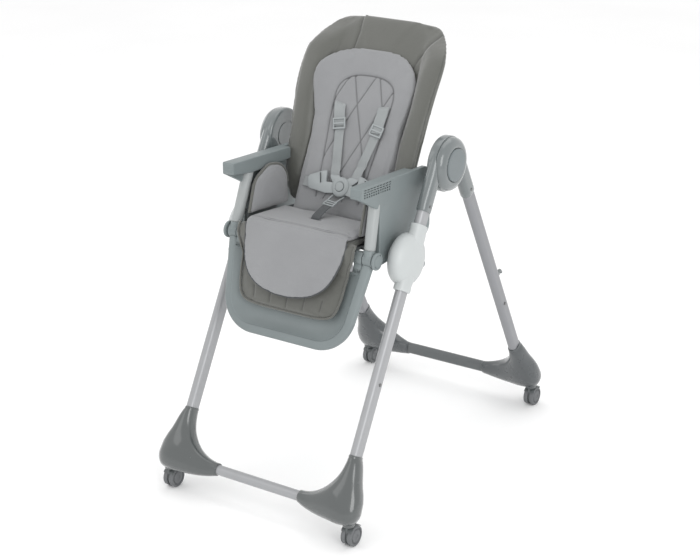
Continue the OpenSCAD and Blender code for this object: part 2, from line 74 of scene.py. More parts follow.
# ---- frames of the moving assemblies, worked out from the joints and the CAD boxes ---------
HUB = Vector(joint["fold"]["pos_m"])
BACK_HINGE = Vector(joint["recline"]["pos_m"])
KNEE = Vector(joint["footrest_tilt"]["pos_m"])
LEG_AXIS = Vector(joint["seat_height"]["axis"])
LEG_LEAN = math.atan2(LEG_AXIS.y, LEG_AXIS.z)
SEAT_SLOPE = math.radians(5)
BACK_LEAN = math.radians(20)
FOOT_SLOPE = math.radians(20.6)
INSERT_LEAN = math.radians(27)
LEG_X, CASTER_X = (sum(corner.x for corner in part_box(name)) / 2 / MM
                   for name in ("front_leg_left", "front_wheels_left"))
SEAT_LOW, SEAT_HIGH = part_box("seat_insert")


def leaning(origin, angle):
    """A frame in millimetres at origin, whose Z leans back by angle."""
    return Matrix.Translation(origin) @ Matrix.Rotation(-angle, 4, "X") @ Matrix.Scale(MM, 4)


FRONT_LEG = leaning(HUB, LEG_LEAN)
REAR_LEG = Matrix.Scale(-1, 4, (0, 1, 0)) @ FRONT_LEG   # the rear leg mirrors the front one about the hub
SEAT = leaning(Vector((0, SEAT_LOW.y, SEAT_HIGH.z)), SEAT_SLOPE)
BACK = leaning(BACK_HINGE, BACK_LEAN)
FOOT = leaning(KNEE, FOOT_SLOPE)
INSERT = leaning(BACK_HINGE + Vector((0, -0.072, 0.008)), INSERT_LEAN)   # the quilt leans more than the shell
WORLD = Matrix.Scale(MM, 4)
MIRROR = Matrix.Scale(-1, 4, (1, 0, 0))


# ---- mesh helpers --------------------------------------------------------------------------
def new_piece(name, bm, matrix=WORLD):
    """An object made from bm. Its mesh is moved by matrix, and the object itself stays at the origin."""
    bm.transform(matrix)
    if matrix.determinant() < 0:
        bmesh.ops.reverse_faces(bm, faces=bm.faces)
    mesh = bpy.data.meshes.new(name)
    bm.to_mesh(mesh)
    bm.free()
    mesh.shade_smooth()
    piece = bpy.data.objects.new(name, mesh)
    bpy.context.scene.collection.objects.link(piece)
    return piece


def mirrored(piece, name):
    """A copy of a piece on the other side of the chair."""
    bm = bmesh.new()
    bm.from_mesh(piece.data)
    copy = new_piece(name, bm, MIRROR)
    for material in piece.data.materials:
        copy.data.materials.append(material)
    return copy


def dress(piece, material, slot, body, *replaced, padded=None):
    """Gives a piece its material, its body and the CAD nodes that it stands for; slot is not used. A piece that
    bends between two bodies has the arguments of its blend as its body."""
    piece.data.materials.clear()
    piece.data.materials.append(material)
    if isinstance(body, tuple):
        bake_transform(piece, *body)
    else:
        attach(piece, body)
    if replaced:
        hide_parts(*replaced)
    return piece


def on_both_sides(stem, build, material, slot, body, cad=""):
    """Builds the left piece and mirrors it. In body and cad, SIDE becomes left or right."""
    left = build(stem + "_left")
    pair = {"left": left, "right": mirrored(left, stem + "_right")}
    for side, piece in pair.items():
        names = [cad.replace("SIDE", side)] if cad else []
        dress(piece, material, slot, body.replace("SIDE", side), *names)
    return pair


def loft(bm, rings):
    """Skins a list of rings, each a list of points, and closes both ends."""
    rows = [[bm.verts.new(p) for p in ring] for ring in rings]
    n = len(rows[0])
    for a, b in zip(rows, rows[1:]):
        for i in range(n):
            j = (i + 1) % n
            bm.faces.new((a[i], a[j], b[j], b[i]))
    bm.faces.new(list(reversed(rows[0])))
    bm.faces.new(rows[-1])


def fix_normals(bm):
    """Turns every face outward."""
    bmesh.ops.recalc_face_normals(bm, faces=bm.faces)


def catmull(points, steps, closed=False):
    """A smooth curve through points, with steps samples per span."""
    pts = [Vector(p) for p in points]
    n = len(pts)
    out = []
    for i in range(n if closed else n - 1):
        if closed:
            p0, p1, p2, p3 = (pts[(i + k) % n] for k in (-1, 0, 1, 2))
        else:
            p0, p1, p2, p3 = pts[max(i - 1, 0)], pts[i], pts[i + 1], pts[min(i + 2, n - 1)]
        for k in range(steps):
            t = k / steps
            out.append(0.5 * ((2 * p1) + (p2 - p0) * t + (2 * p0 - 5 * p1 + 4 * p2 - p3) * t * t
                              + (3 * p1 - p0 - 3 * p2 + p3) * t ** 3))
    if not closed:
        out.append(pts[-1])
    return out


def interp(x, table):
    """Smooth value at x from a table of (x, value) pairs."""
    xs, ys = [p[0] for p in table], [p[1] for p in table]
    if x <= xs[0] or x >= xs[-1]:
        return ys[0] if x <= xs[0] else ys[-1]
    slopes = [(b - a) / (q - p) for p, q, a, b in zip(xs, xs[1:], ys, ys[1:])]
    inner = [0.0 if a * b <= 0 else (a + b) / 2 for a, b in zip(slopes, slopes[1:])]
    tangents = [slopes[0]] + inner + [slopes[-1]]
    i = max(k for k in range(len(xs) - 1) if xs[k] <= x)
    w = xs[i + 1] - xs[i]
    t = (x - xs[i]) / w
    return ((2 * t ** 3 - 3 * t ** 2 + 1) * ys[i] + (t ** 3 - 2 * t ** 2 + t) * w * tangents[i]
            + (3 * t ** 2 - 2 * t ** 3) * ys[i + 1] + (t ** 3 - t ** 2) * w * tangents[i + 1])


def tube(bm, path, radius, sides):
    """A round tube swept along a path."""
    pts = [Vector(p) for p in path]
    rings, normal = [], None
    for i, p in enumerate(pts):
        tangent = (pts[min(i + 1, len(pts) - 1)] - pts[max(i - 1, 0)]).normalized()
        if normal is None:
            normal = tangent.orthogonal().normalized()
        normal = (normal - tangent * normal.dot(tangent)).normalized()
        side = tangent.cross(normal)
        turns = [2 * math.pi * k / sides for k in range(sides)]
        rings.append([p + normal * radius * math.cos(a) + side * radius * math.sin(a) for a in turns])
    loft(bm, rings)


def lathe(bm, profile, centre=(0, 0, 0), sides=64, axis="X"):
    """Turns a profile of (radius, distance) pairs about an axis; a radius of 0 closes an end."""
    c = Vector(centre)
    order = {"X": (2, 0, 1), "Y": (0, 2, 1), "Z": (0, 1, 2)}[axis]

    def place(r, a, h):
        local = (r * math.cos(a), r * math.sin(a), h)
        return c + Vector([local[k] for k in order])

    rows = []
    for r, h in profile:
        steps = sides if r else 1
        rows.append([bm.verts.new(place(r, 2 * math.pi * k / sides, h)) for k in range(steps)])
    for a, b in zip(rows, rows[1:]):
        for k in range(sides):
            j = (k + 1) % sides
            if len(a) == 1 and len(b) > 1:
                bm.faces.new((a[0], b[j], b[k]))
            elif len(b) == 1 and len(a) > 1:
                bm.faces.new((a[k], a[j], b[0]))
            elif len(a) > 1:
                bm.faces.new((a[k], a[j], b[j], b[k]))


def rim(r, x0, x1, soft, steps=5):
    """Profile of a disc's edge at radius r from x0 to x1, with rounded corners."""
    out = [(r - soft + soft * math.sin(a), x0 + soft - soft * math.cos(a))
           for a in np.linspace(0, math.pi / 2, steps)]
    out += [(r - soft + soft * math.cos(a), x1 - soft + soft * math.sin(a))
            for a in np.linspace(0, math.pi / 2, steps)]
    return out


def oval(w, d, steps):
    """Outline of an oval of width w and depth d with round ends, as (x, y) pairs."""
    r = min(w, d) / 2
    straight = (d - w) / 2 if d > w else 0
    out = []
    for end, start in ((1, 0), (-1, math.pi)):
        for k in range(steps + 1):
            a = start + math.pi * k / steps
            out.append((r * math.cos(a), end * straight + r * math.sin(a)))
    return out


def superellipse(a, b, power, steps=40):
    """Outline with half axes a and b; a power of 2 is an ellipse and a higher one is squarer."""
    out = []
    for k in range(steps):
        t = 2 * math.pi * k / steps
        c, s = math.cos(t), math.sin(t)
        out.append((a * math.copysign(abs(c) ** (2 / power), c), b * math.copysign(abs(s) ** (2 / power), s)))
    return out


def prism(bm, outline, low, high, axis="Y"):
    """Extrudes a 2-D outline along an axis. Its pairs are (x, z) for Y, (y, z) for X and (x, y) for Z."""
    order = {"X": (2, 0, 1), "Y": (0, 2, 1), "Z": (0, 1, 2)}[axis]
    bottom, top = ([bm.verts.new([(*p, h)[k] for k in order]) for p in outline] for h in (low, high))
    bm.faces.new(bottom)
    bm.faces.new(list(reversed(top)))
    for i in range(len(outline)):
        j = (i + 1) % len(outline)
        bm.faces.new((bottom[j], bottom[i], top[i], top[j]))


def rounded(points, steps=6):
    """A closed outline whose corners, given as (x, y, radius), are rounded by arcs."""
    out = []
    n = len(points)
    for i, (x, y, r) in enumerate(points):
        b = Vector((x, y))
        if r == 0:
            out.append((x, y))
            continue
        u = (Vector(points[i - 1][:2]) - b).normalized()
        v = (Vector(points[(i + 1) % n][:2]) - b).normalized()
        half = u.angle(v) / 2
        centre = b + (u + v).normalized() * r / math.sin(half)
        start = b + u * r / math.tan(half) - centre
        turn = math.copysign(math.pi - 2 * half, start.cross(b + v * r / math.tan(half) - centre))
        for k in range(steps + 1):
            a = turn * k / steps
            q = centre + Matrix.Rotation(a, 2) @ start
            out.append((q.x, q.y))
    return out


def both_halves(half):
    """A symmetric outline of (x, y, radius) corners from its right half."""
    return half + [(-x, y, r) for x, y, r in reversed(half)]


def apply_modifiers(piece):
    """Turns a piece's modifiers into its mesh."""
    old = piece.data
    evaluated = piece.evaluated_get(bpy.context.evaluated_depsgraph_get())
    mesh = bpy.data.meshes.new_from_object(evaluated)
    piece.modifiers.clear()
    piece.data = mesh
    bpy.data.meshes.remove(old)
    mesh.shade_smooth()
    return piece


def modified(piece, kind, **settings):
    """Adds one modifier with its settings and applies it."""
    mod = piece.modifiers.new(kind.lower(), kind)
    for key, value in settings.items():
        setattr(mod, key, value)
    return apply_modifiers(piece)


def bevelled(piece, width, segments=3, angle=35):
    """Rounds a piece's edges that are sharper than angle; width is in millimetres."""
    return modified(piece, "BEVEL", width=width * MM, segments=segments, limit_method="ANGLE",
                    angle_limit=math.radians(angle))


def relaxed(piece, turns):
    """Evens out a piece's surface."""
    return modified(piece, "SMOOTH", iterations=turns, factor=0.5)


def joined(name, pieces):
    """One object from several, which are removed."""
    bm = bmesh.new()
    for p in pieces:
        bm.from_mesh(p.data)
        bpy.data.objects.remove(p)
    return new_piece(name, bm, IDENTITY)


def doubled(name, left):
    """One piece from the left one and its mirror image."""
    return joined(name, [left, mirrored(left, "right")])


def points_of(piece, what="co"):
    """A piece's points as an array, in metres, or their normals."""
    values = np.empty(len(piece.data.vertices) * 3, np.float32)
    piece.data.vertices.foreach_get(what, values)
    return values.reshape(-1, 3).astype(float)


def set_points(piece, co):
    """Moves a piece's points to the places in an array, in metres."""
    piece.data.vertices.foreach_set("co", np.ascontiguousarray(co, dtype=np.float64).ravel())
    piece.data.update()


def cut(piece, bm, matrix=WORLD):
    """Cuts the closed shapes in bm out of a piece."""
    tool = solid("cutter", bm, matrix)
    modified(piece, "BOOLEAN", operation="DIFFERENCE", solver="EXACT", object=tool)
    bpy.data.objects.remove(tool)
    return piece


def crisp(piece, angle=38):
    """Keeps the edges sharp that bend by more than angle, in degrees."""
    piece.data.set_sharp_from_angle(angle=math.radians(angle))
    return piece


def solid(name, bm, matrix=WORLD, angle=None):
    """A piece from the closed shapes in bm, crisp where an angle is given."""
    fix_normals(bm)
    piece = new_piece(name, bm, matrix)
    return crisp(piece, angle) if angle else piece


def rectangle(x0, y0, x1, y1, radius=0):
    """The outline of a rectangle, with rounded corners where a radius is given."""
    return rounded([(x0, y0, radius), (x1, y0, radius), (x1, y1, radius), (x0, y1, radius)], 3)


def block(bm, low, high):
    """A box between two corners."""
    prism(bm, rectangle(*low[:2], *high[:2]), low[2], high[2], "Z")


def lofted(name, rings, matrix, angle=None):
    """A piece that is skinned over one list of rings."""
    bm = bmesh.new()
    loft(bm, rings)
    return solid(name, bm, matrix, angle)


def turned(name, profile, centre, sides, axis, matrix, angle=None):
    """A piece that is turned from one profile."""
    bm = bmesh.new()
    lathe(bm, profile, centre, sides, axis)
    return solid(name, bm, matrix, angle)


def rod(bm, radius, low, high, centre=(0, 0, 0), sides=24, axis="X"):
    """A cylinder between two distances along an axis through centre."""
    lathe(bm, [(0, low), (radius, low), (radius, high), (0, high)], centre, sides, axis)


# ---- materials -----------------------------------------------------------------------------
def srgb(*values):
    """A colour in linear light, from display values of 0 to 255 that aren't near black."""
    return tuple(((v / 255 + 0.055) / 1.055) ** 2.4 for v in values) + (1,)


class Shader:
    """A material built from nodes in object coordinates, in metres; each method returns a socket."""

    def __init__(self, name):
        self.material = bpy.data.materials.new(name)
        self.material.use_nodes = True
        self.tree = self.material.node_tree
        self.bsdf = self.tree.nodes["Principled BSDF"]
        self.place = self.add("TexCoord", out="Object")

    def add(self, kind, inputs=None, out=0, **settings):
        n = self.tree.nodes.new("ShaderNode" + kind)
        for key, value in settings.items():
            setattr(n, key, value)
        for key, value in (inputs or {}).items():
            self.put(n, key, value)
        return n.outputs[out]

    def put(self, n, key, value):
        if isinstance(value, bpy.types.NodeSocket):
            self.tree.links.new(value, n.inputs[key])
        else:
            n.inputs[key].default_value = value

    def math(self, operation, a, b=0.0):
        return self.add("Math", {0: a, 1: b}, operation=operation)

    def noise(self, scale, detail=2.0, rough=0.5):
        return self.add("TexNoise", {"Vector": self.place, "Scale": scale, "Detail": detail,
                                     "Roughness": rough})

    def spread(self, value, low, high, to_low, to_high):
        return self.add("MapRange", {"Value": value, "From Min": low, "From Max": high,
                                     "To Min": to_low, "To Max": to_high})

    def mix(self, factor, a, b):
        return self.add("Mix", {0: factor, 6: a, 7: b}, out=2, data_type="RGBA")

    def bump(self, height, distance, strength=1.0, under=None):
        inputs = {"Height": height, "Distance": distance, "Strength": strength}
        if under is not None:
            inputs["Normal"] = under
        return self.add("Bump", inputs)

    def mottled(self, base, scale, dark, light):
        """A colour that varies softly between two shades of itself."""
        tone = self.spread(self.noise(scale, 4), 0.3, 0.7, 0, 1)
        return self.mix(tone, scaled(base, dark), scaled(base, light))

    def shade_seams(self, colour, share, shade):
        """The colour, going to a painted shade where sewn has marked a seam's groove."""
        seam = self.add("Attribute", out="Fac", attribute_name="seam")
        return self.mix(self.math("MULTIPLY", seam, share), colour, shade)

    def finish(self, colour, rough, normal=None, **more):
        self.put(self.bsdf, "Base Color", colour)
        self.put(self.bsdf, "Roughness", rough)
        if normal is not None:
            self.put(self.bsdf, "Normal", normal)
        for key, value in more.items():
            self.put(self.bsdf, key.replace("_", " "), value)
        return self.material


def scaled(colour, k):
    """A colour made k times as bright."""
    return tuple(min(c * k, 1) for c in colour[:3]) + (1,)


def moulding(name, rgb, rough, grain=0.00002, coat=0.0, vary=0.05, wear=0.3, metallic=0.0):
    """A moulded or painted surface: fine grain, faint mottling and lighter worn edges."""
    s = Shader(name)
    base = srgb(*rgb)
    colour = s.mottled(base, 14, 1 - vary, 1 + vary)
    edge = s.spread(s.add("NewGeometry", out="Pointiness"), 0.52, 0.60, 0, wear)
    colour = s.mix(edge, colour, scaled(base, 1.35))
    smudge = s.spread(s.noise(45, 3, 0.6), 0.3, 0.75, rough - 0.03, rough + 0.06)
    normal = s.bump(s.noise(1500, 1), grain)
    more = {"Metallic": metallic}
    if coat:
        more.update({"Coat Weight": coat, "Coat Roughness": 0.08})
    return s.finish(colour, smudge, normal, **more)


def leather(name, rgb):
    """Fine-grained leatherette with a soft shine; the pressed seams get painted shade."""
    s = Shader(name)
    base = srgb(*rgb)
    cells = s.add("TexVoronoi", {"Vector": s.place, "Scale": 620.0}, feature="SMOOTH_F1")
    pores = s.spread(cells, 0.1, 0.75, 0, 1)
    colour = s.mottled(base, 9, 0.95, 1.06)
    colour = s.mix(s.math("MULTIPLY", pores, 0.25), scaled(base, 1.05), colour)
    # Painted shade in the pressed seams.
    colour = s.shade_seams(colour, 0.75, scaled(base, 0.3))
    creases = s.bump(s.noise(70, 4, 0.6), 0.0006)
    normal = s.bump(s.math("SUBTRACT", 1.0, pores), 0.00018, under=creases)
    rough = s.spread(s.noise(30, 3), 0.3, 0.7, 0.38, 0.48)
    return s.finish(colour, rough, normal, **{"Sheen Weight": 0.45, "Specular IOR Level": 0.55})


def woven(name, rgb, pitch=0.0013, along=None, sheen=0.25, depth=0.00022, contrast=0.12):
    """Plain-woven cloth. The threads follow X and the sum of Y and Z, or the UV map given by along."""
    s = Shader(name)
    base = srgb(*rgb)
    if along:
        axes = s.add("SeparateXYZ", {0: s.add("UVMap", uv_map=along)}, out="X").node
        u, v = axes.outputs["X"], axes.outputs["Y"]
    else:
        axes = s.add("SeparateXYZ", {0: s.place}, out="X").node
        u, v = axes.outputs["X"], s.math("ADD", axes.outputs["Y"], axes.outputs["Z"])
    turn = math.pi / pitch
    angles = [s.math("MULTIPLY", way, turn) for way in (u, v)]
    warp, weft = (s.math("ABSOLUTE", s.math("SINE", angle)) for angle in angles)
    column, row = (s.math("FLOOR", s.math("DIVIDE", angle, math.pi)) for angle in angles)
    over = s.math("PINGPONG", s.math("ADD", column, row), 1.0)
    height = s.add("Mix", {0: over, 2: warp, 3: weft}, data_type="FLOAT")
    colour = s.mottled(base, 11, 0.96, 1.05)
    colour = s.mix(s.spread(height, 0, 1, contrast, 0), colour, scaled(base, 0.45))
    # Painted shade in the pressed seams.
    colour = s.shade_seams(colour, 0.8, scaled(base, 0.25))
    folds = s.bump(s.noise(26, 4, 0.55), 0.0022)
    normal = s.bump(height, depth, under=folds)
    return s.finish(colour, 0.85, normal, **{"Sheen Weight": sheen, "Sheen Roughness": 0.5,
                                             "Specular IOR Level": 0.25})


PAINT = moulding("grey_paint", (151, 152, 154), 0.34, 0.00001, vary=0.03, metallic=0.25)
# The grey paint made darker for the rear legs: painted shade.
SHADED_PAINT = moulding("shaded_grey_paint", (132, 133, 136), 0.34, 0.00001, vary=0.03, metallic=0.25)
FEET = moulding("foot_moulding", (75, 79, 79), 0.22, 0.000002, coat=0.9, vary=0.02, wear=0.0)
GLOSS = moulding("gloss_moulding", (102, 108, 109), 0.22, 0.000002, coat=0.9, vary=0.02, wear=0.0)
SATIN = moulding("satin_moulding", (118, 126, 127), 0.42, 0.00003, vary=0.03)
DISC = moulding("button_moulding", (112, 119, 121), 0.38, 0.00002, vary=0.03)
PALE = moulding("pale_moulding", (184, 188, 188), 0.38, 0.00002, vary=0.02)
KNEE_PALE = moulding("knee_moulding", (154, 158, 158), 0.38, 0.00002, vary=0.02)
DARK = moulding("dark_moulding", (88, 92, 93), 0.45, 0.00003, vary=0.05)
RUBBER = moulding("grey_rubber", (100, 102, 104), 0.62, 0.00006, vary=0.08, wear=0.5)
# A darker, duller copy of the gloss moulding for the rear feet: painted shade.
SHADE = moulding("shaded_gloss_moulding", (74, 78, 80), 0.28, 0.000002, coat=0.5, vary=0.02, wear=0.0)
# A much darker copy of the grey paint for the rear crossbar: painted shade.
DEEP_SHADE_PAINT = moulding("deep_shade_paint", (92, 95, 96), 0.36, 0.00001, vary=0.03, metallic=0.2)
BUCKLE = moulding("buckle_moulding", (150, 155, 156), 0.42, 0.00002, vary=0.03)
STEEL = moulding("plain_steel", (120, 120, 120), 0.38, 0.00001, metallic=0.9)
LEATHER = leather("leatherette", (82, 83, 78))
CLOTH = woven("quilt_cloth", (146, 147, 149))
# The darker webbing is painted shade on the crotch strap. On the flap's binding it is partly the binding's own
# dark colour and partly painted shadow.
STRAP, DARK_AND_SHADED_STRAP = (woven(name, rgb, 0.0016, along="weave", sheen=0.15, depth=0.0004, contrast=0.3)
                     for name, rgb in (("webbing", (160, 164, 165)), ("dark_and_shaded_webbing", (84, 87, 89))))

# ---- legs, hubs and feet -------------------------------------------------------------------
OFFSET = 44            # from the line between hub and foot to the middle of the leg tube
CASTER_Y = 440
HEIGHT_BUTTON = (228.5, 0, -235)
# The rear legs and the rear crossbar get darker copies of the grey paint: painted shade.
for names, paint in ((("front_leg_left", "front_leg_right", "front_crossbar"), PAINT),
                     (("rear_leg_left", "rear_leg_right"), SHADED_PAINT), (("rear_crossbar",), DEEP_SHADE_PAINT),
                     (("hub_pins", "front_screws", "rear_screws", "footrest_pins", "back_rod"), STEEL)):
    for name in names:
        node[name].data.materials.clear()
        node[name].data.materials.append(paint)


def leg_ring(w, d, at):
    """An oval of width w and depth d round the leg tube, at a distance from the hub."""
    return [(LEG_X + px, -OFFSET + py, -at) for px, py in oval(w, d, 14)]


def hub_half(name, start, end, room, profile, matrix):
    """One half of a hub: a head turned from profile, on an oval sleeve with a chamfered mouth that the
    leg tube comes out of. room is the disc that is cut from the sleeve, as (radius, low, high)."""
    sizes = ((28, 42, start), (28, 42, end - 16), (28, 42, end - 3.5), (25.6, 39.6, end), (23.2, 37.2, end),
             (23.2, 37.2, end - 8))
    piece = lofted(name, [leg_ring(*size) for size in sizes], matrix)
    radius, low, high = room
    tool = bmesh.new()
    rod(tool, radius, low, high, sides=64)
    cut(piece, tool, matrix)
    return crisp(joined(name, [piece, turned("head", profile, (0, 0, 0), 120, "X", matrix)]))


def front_hub(name):
    """The inner half, with a flat head."""
    profile = [(0, 216), (30, 216), (30, 217.5), (34, 217.5), (34, 216)] + rim(65, 216, 231, 7, 9)[:10]
    profile += [(65, 236.6), (64.4, 238), (63, 238.5), (12, 238.5), (0, 238.5)]
    return hub_half(name, 0, 126, (63.6, 238.3, 262), profile, FRONT_LEG)


def rear_hub(name):
    """The outer half, a dome with a recess for the fold button."""
    dome = [(44 + 19 * math.cos(a), 240.5 + 17.5 * math.sin(a)) for a in np.linspace(0, math.pi / 2, 20)]
    profile = [(0, 238.8), (61.6, 238.8), (62.6, 239.2), (63, 240)] + dome
    profile += [(40.6, 258), (39.7, 257.4), (39.2, 256.2), (39.0, 250.2), (0, 250.2)]
    return hub_half(name, 6, 136, (66, 200, 238.7), profile, REAR_LEG)


def fold_button(name):
    """The round button in the hub's outer face, slightly crowned."""
    face = [(r, 258.6 + 3.2 * math.sqrt(1 - (r / 60) ** 2)) for r in (0, 8, 16, 24, 30, 34)]
    edge = [(0, 254.2), (37.5, 254.2), (38.3, 255), (38.3, 259.4), (37.4, 260.6), (36, 261.2)]
    return turned(name, edge + face[::-1], (0, 0, 0), 96, "X", REAR_LEG, 38)


def foot(end_w, end_h, caster_sign):
    """A foot: rings fanned round the centre of its concave inner edge, from the leg to the crossbar."""
    outer = [(0, 129), (20, 157), (30, 187), (38, 206), (43, 209), (50, 196), (60, 171), (75, 147),
             (90, 116 + end_h)]
    half = [(0, 21), (20, 25), (30, 29), (41, 33), (60, 26), (75, 19), (90, end_w)]
    shift = [(0, -44), (41, -47), (90, -38)]

    def ring(angle, k=1.0, grow=0.0):
        """The foot's section at an angle round the fan, made k times as large and grown by grow."""
        a = math.radians(angle)
        inner = 101 if angle < 60 else 101 + (15 - end_h) * (angle - 60) / 30
        reach, b = interp(angle, outer), interp(angle, half)
        mid, r = (inner + reach) / 2, ((reach - inner) / 2 + grow) * k
        power = 2.35 if 8 < angle < 82 else 2.15
        points = []
        for px, py in superellipse(r, (b + grow) * k, power, 48):
            rho = mid + px
            points.append((117 + rho * math.cos(a), interp(angle, shift) + py,
                           -698 - rho * math.sin(a) - 3 * angle / 90))
        return points

    def build(name):
        up = [[(x, y, z + h) for x, y, z in ring(0, k)]
              for h, k in ((-3, 0.86), (4, 0.86), (4, 0.93), (2.4, 1.0))]
        lip = [ring(1.6, 1.0, -0.7), ring(2.6, 1.0, 0)]
        fan = [ring(a) for a in list(range(6, 34, 4)) + list(range(36, 60, 2)) + list(range(60, 90, 4))]
        tail = [[(x - h, y, z) for x, y, z in ring(90, k)] for h, k in ((1.0, 0.94), (1.0, 0.82), (-6, 0.80))]
        body = lofted(name, up + [ring(0)] + lip + fan + [ring(90)] + tail,
                      FRONT_LEG if caster_sign < 0 else REAR_LEG)
        boss = [(0, 51.6), (12, 51.6), (13.6, 52.2), (14.2, 54), (15.5, 66), (15.5, 84), (0, 84)]
        boss = turned("seat", boss, (CASTER_X, caster_sign * CASTER_Y, 0), 40, "Z", WORLD)
        return crisp(joined(name, [body, boss]), 50)
    return build


for stem, build, material, slot, body, cad in (
        ("front_hub_shell", front_hub, GLOSS, "frame_plastic", "front_frame", "front_hub_SIDE"),
        ("rear_hub_shell", rear_hub, GLOSS, "frame_plastic", "rear_frame", "rear_hub_SIDE"),
        ("fold_disc", fold_button, DISC, "panel_plastic", "fold_button_SIDE", "fold_button_SIDE"),
        ("front_foot_shell", foot(15, 15, -1), FEET, "frame_plastic", "front_frame", "front_foot_SIDE"),
        ("rear_foot_shell", foot(14, 18, 1), SHADE, "frame_plastic", "rear_frame", "rear_foot_SIDE")):
    on_both_sides(stem, build, material, slot, body, cad)


def tray_hook(name):
    """A small hook behind the rear leg, bent down at its tip."""
    bm = bmesh.new()
    base = -OFFSET - 18
    lathe(bm, [(0, base + 3), (7, base + 3), (7, base - 2.4), (6.2, base - 3.4), (0, base - 3.4)],
          (LEG_X, 0, -440), 32, axis="Y")
    tube(bm, catmull([(LEG_X, base, -440), (LEG_X, base - 9, -440), (LEG_X, base - 14.5, -441.5),
                      (LEG_X, base - 16.5, -446), (LEG_X, base - 16.8, -451)], 6), 4.2, 20)
    return solid(name, bm, REAR_LEG, 50)


dress(doubled("tray_hooks", tray_hook("hook")), GLOSS, "frame_plastic", "rear_frame", "tray_pegs")


# ---- casters -------------------------------------------------------------------------------
WHEEL_Z = 24           # the axle's height, and the wheels' radius
TRAIL = 11             # from the stem to the axle


def wheels(sign):
    """The builder of a pair of wheels on one axle; sign is 1 at the rear and -1 in front."""
    def build(name):
        bm = bmesh.new()
        centre = (CASTER_X, sign * CASTER_Y + TRAIL, WHEEL_Z)
        profile = [(0, 3), (22.8, 3), (24, 4.2), (24, 12), (23.4, 13.3), (22, 14), (19.6, 14), (19, 13),
                   (18.4, 11.6), (16, 11.6), (15.4, 13.2), (14.4, 14.1), (7, 14.7), (5.4, 14.7), (5, 13.9),
                   (0, 13.9)]
        for s in (1, -1):
            lathe(bm, [(r, s * x) for r, x in profile], centre, 72)
        rod(bm, 3, -4, 4, centre)
        return solid(name, bm, WORLD, 30)
    return build


def caster(sign):
    """The builder of a caster's body: stem, hood and the plate between the wheels."""
    def build(name):
        bm = bmesh.new()
        py, wy = sign * CASTER_Y, sign * CASTER_Y + TRAIL
        stem = (CASTER_X, py, 0)
        rod(bm, 5, 48.4, 79, stem, 24, "Z")
        collar = [(0, 49.2), (9.4, 49.2), (10, 49.8), (10, 50.9), (9.4, 51.5), (0, 51.5)]
        lathe(bm, collar, stem, 40, "Z")

        def arc(r, start, end, steps):
            return [(wy + r * math.cos(a), WHEEL_Z + r * math.sin(a))
                    for a in np.radians(np.linspace(start, end, steps))]

        hood = arc(26.9, 46, 143, 18) + arc(25, 143, 46, 18)
        plate = arc(20, 155, 385, 28) + [(wy + 16, 44), (wy - 2, 50), (py - 9, 49), (py - 9, 40)]
        parts = [(hood, 14), (plate, 2.4)]
        if sign > 0:   # the ear that holds the brake lever
            parts.append(([(wy + 8, 40), (wy + 19, 30), (wy + 26, 34), (wy + 27, 40), (wy + 23, 42)], 2.4))
        for outline, half in parts:
            prism(bm, outline, CASTER_X - half, CASTER_X + half, "X")
        return crisp(bevelled(solid(name, bm), 0.7, 2), 40)
    return build


def brake(name):
    """A brake lever: a shaft, two arms and the tread between them."""
    bm = bmesh.new()
    y, z = 475, 38
    rod(bm, 3, -7, 7, (CASTER_X, y, z))
    arm = [(y - 1, z - 2.6), (y + 7, z - 1.2), (y + 7.4, z + 2.4), (y, z + 3)]
    tread = [(y + 4, z - 1.4), (y + 7, z - 1), (y + 7.4, z + 2.2), (y + 4, z + 2.8)]
    for outline, low, high in ((arm, -7, -3.2), (arm, 3.2, 7), (tread, -7, 7)):
        prism(bm, outline, CASTER_X + low, CASTER_X + high, "X")
    return crisp(bevelled(solid(name, bm), 0.5, 2))


for end, sign in (("front", -1), ("rear", 1)):
    for stem, build, material, slot, cad in (
            ("_wheel_pair", wheels, RUBBER, "wheel_rubber", end + "_wheels_SIDE"),
            ("_caster_body", caster, DARK, "caster_plastic", end + "_caster_SIDE")):
        on_both_sides(end + stem, build(sign), material, slot, cad, cad)
on_both_sides("brake_pedal", brake, PALE, "pale_plastic", "brake_SIDE", "brake_lever_SIDE")


# ---- seat carriage -------------------------------------------------------------------------
def slider(name):
    """A round boss behind a sleeve that runs down the leg, with a collar at each end."""
    rows = []
    for d in [157, 158.5] + list(np.linspace(160, 309, 36)) + [311, 312.4]:
        edge = 0.93 if d in (157, 312.4) else (0.98 if d in (158.5, 311) else 1.0)
        if 172 < d < 176 or 296 < d < 299:
            edge = 0.965
        swell = 1 + 0.06 * math.sin(math.pi * min(1.0, max(0.0, (d - 170) / 125)))
        rows.append([(LEG_X + px, -OFFSET + py, -d)
                     for px, py in superellipse(16.5 * swell * edge, 24 * swell * edge, 2.6, 56)])
    body = lofted(name, rows, FRONT_LEG)
    rows = []
    for a in np.linspace(0.04, math.pi - 0.04, 48):
        height, across = math.cos(a), math.sin(a)
        d = 240 - 62 * height if height > 0 else 240 - 60 * height
        rows.append([(LEG_X - 9 + px, -OFFSET - 1 + py, -d)
                     for px, py in superellipse(30 * across ** 0.72, 62 * across, 2.3, 64)])
    boss = lofted("boss", rows, FRONT_LEG)
    for piece in (body, boss):
        tool = bmesh.new()
        loft(tool, [leg_ring(23.4, 37.4, 150), leg_ring(23.4, 37.4, 320)])
        rod(tool, 11.4, -4, 26, HEIGHT_BUTTON, 40, "Y")
        cut(piece, tool, FRONT_LEG)
    neck = [(0, 189), (28, 189), (29.6, 190), (30, 193), (30, 206), (0, 206)]
    neck = turned("neck", neck, (0, -OFFSET, -235), 72, "X", FRONT_LEG)
    return crisp(joined(name, [body, boss, neck]), 32)


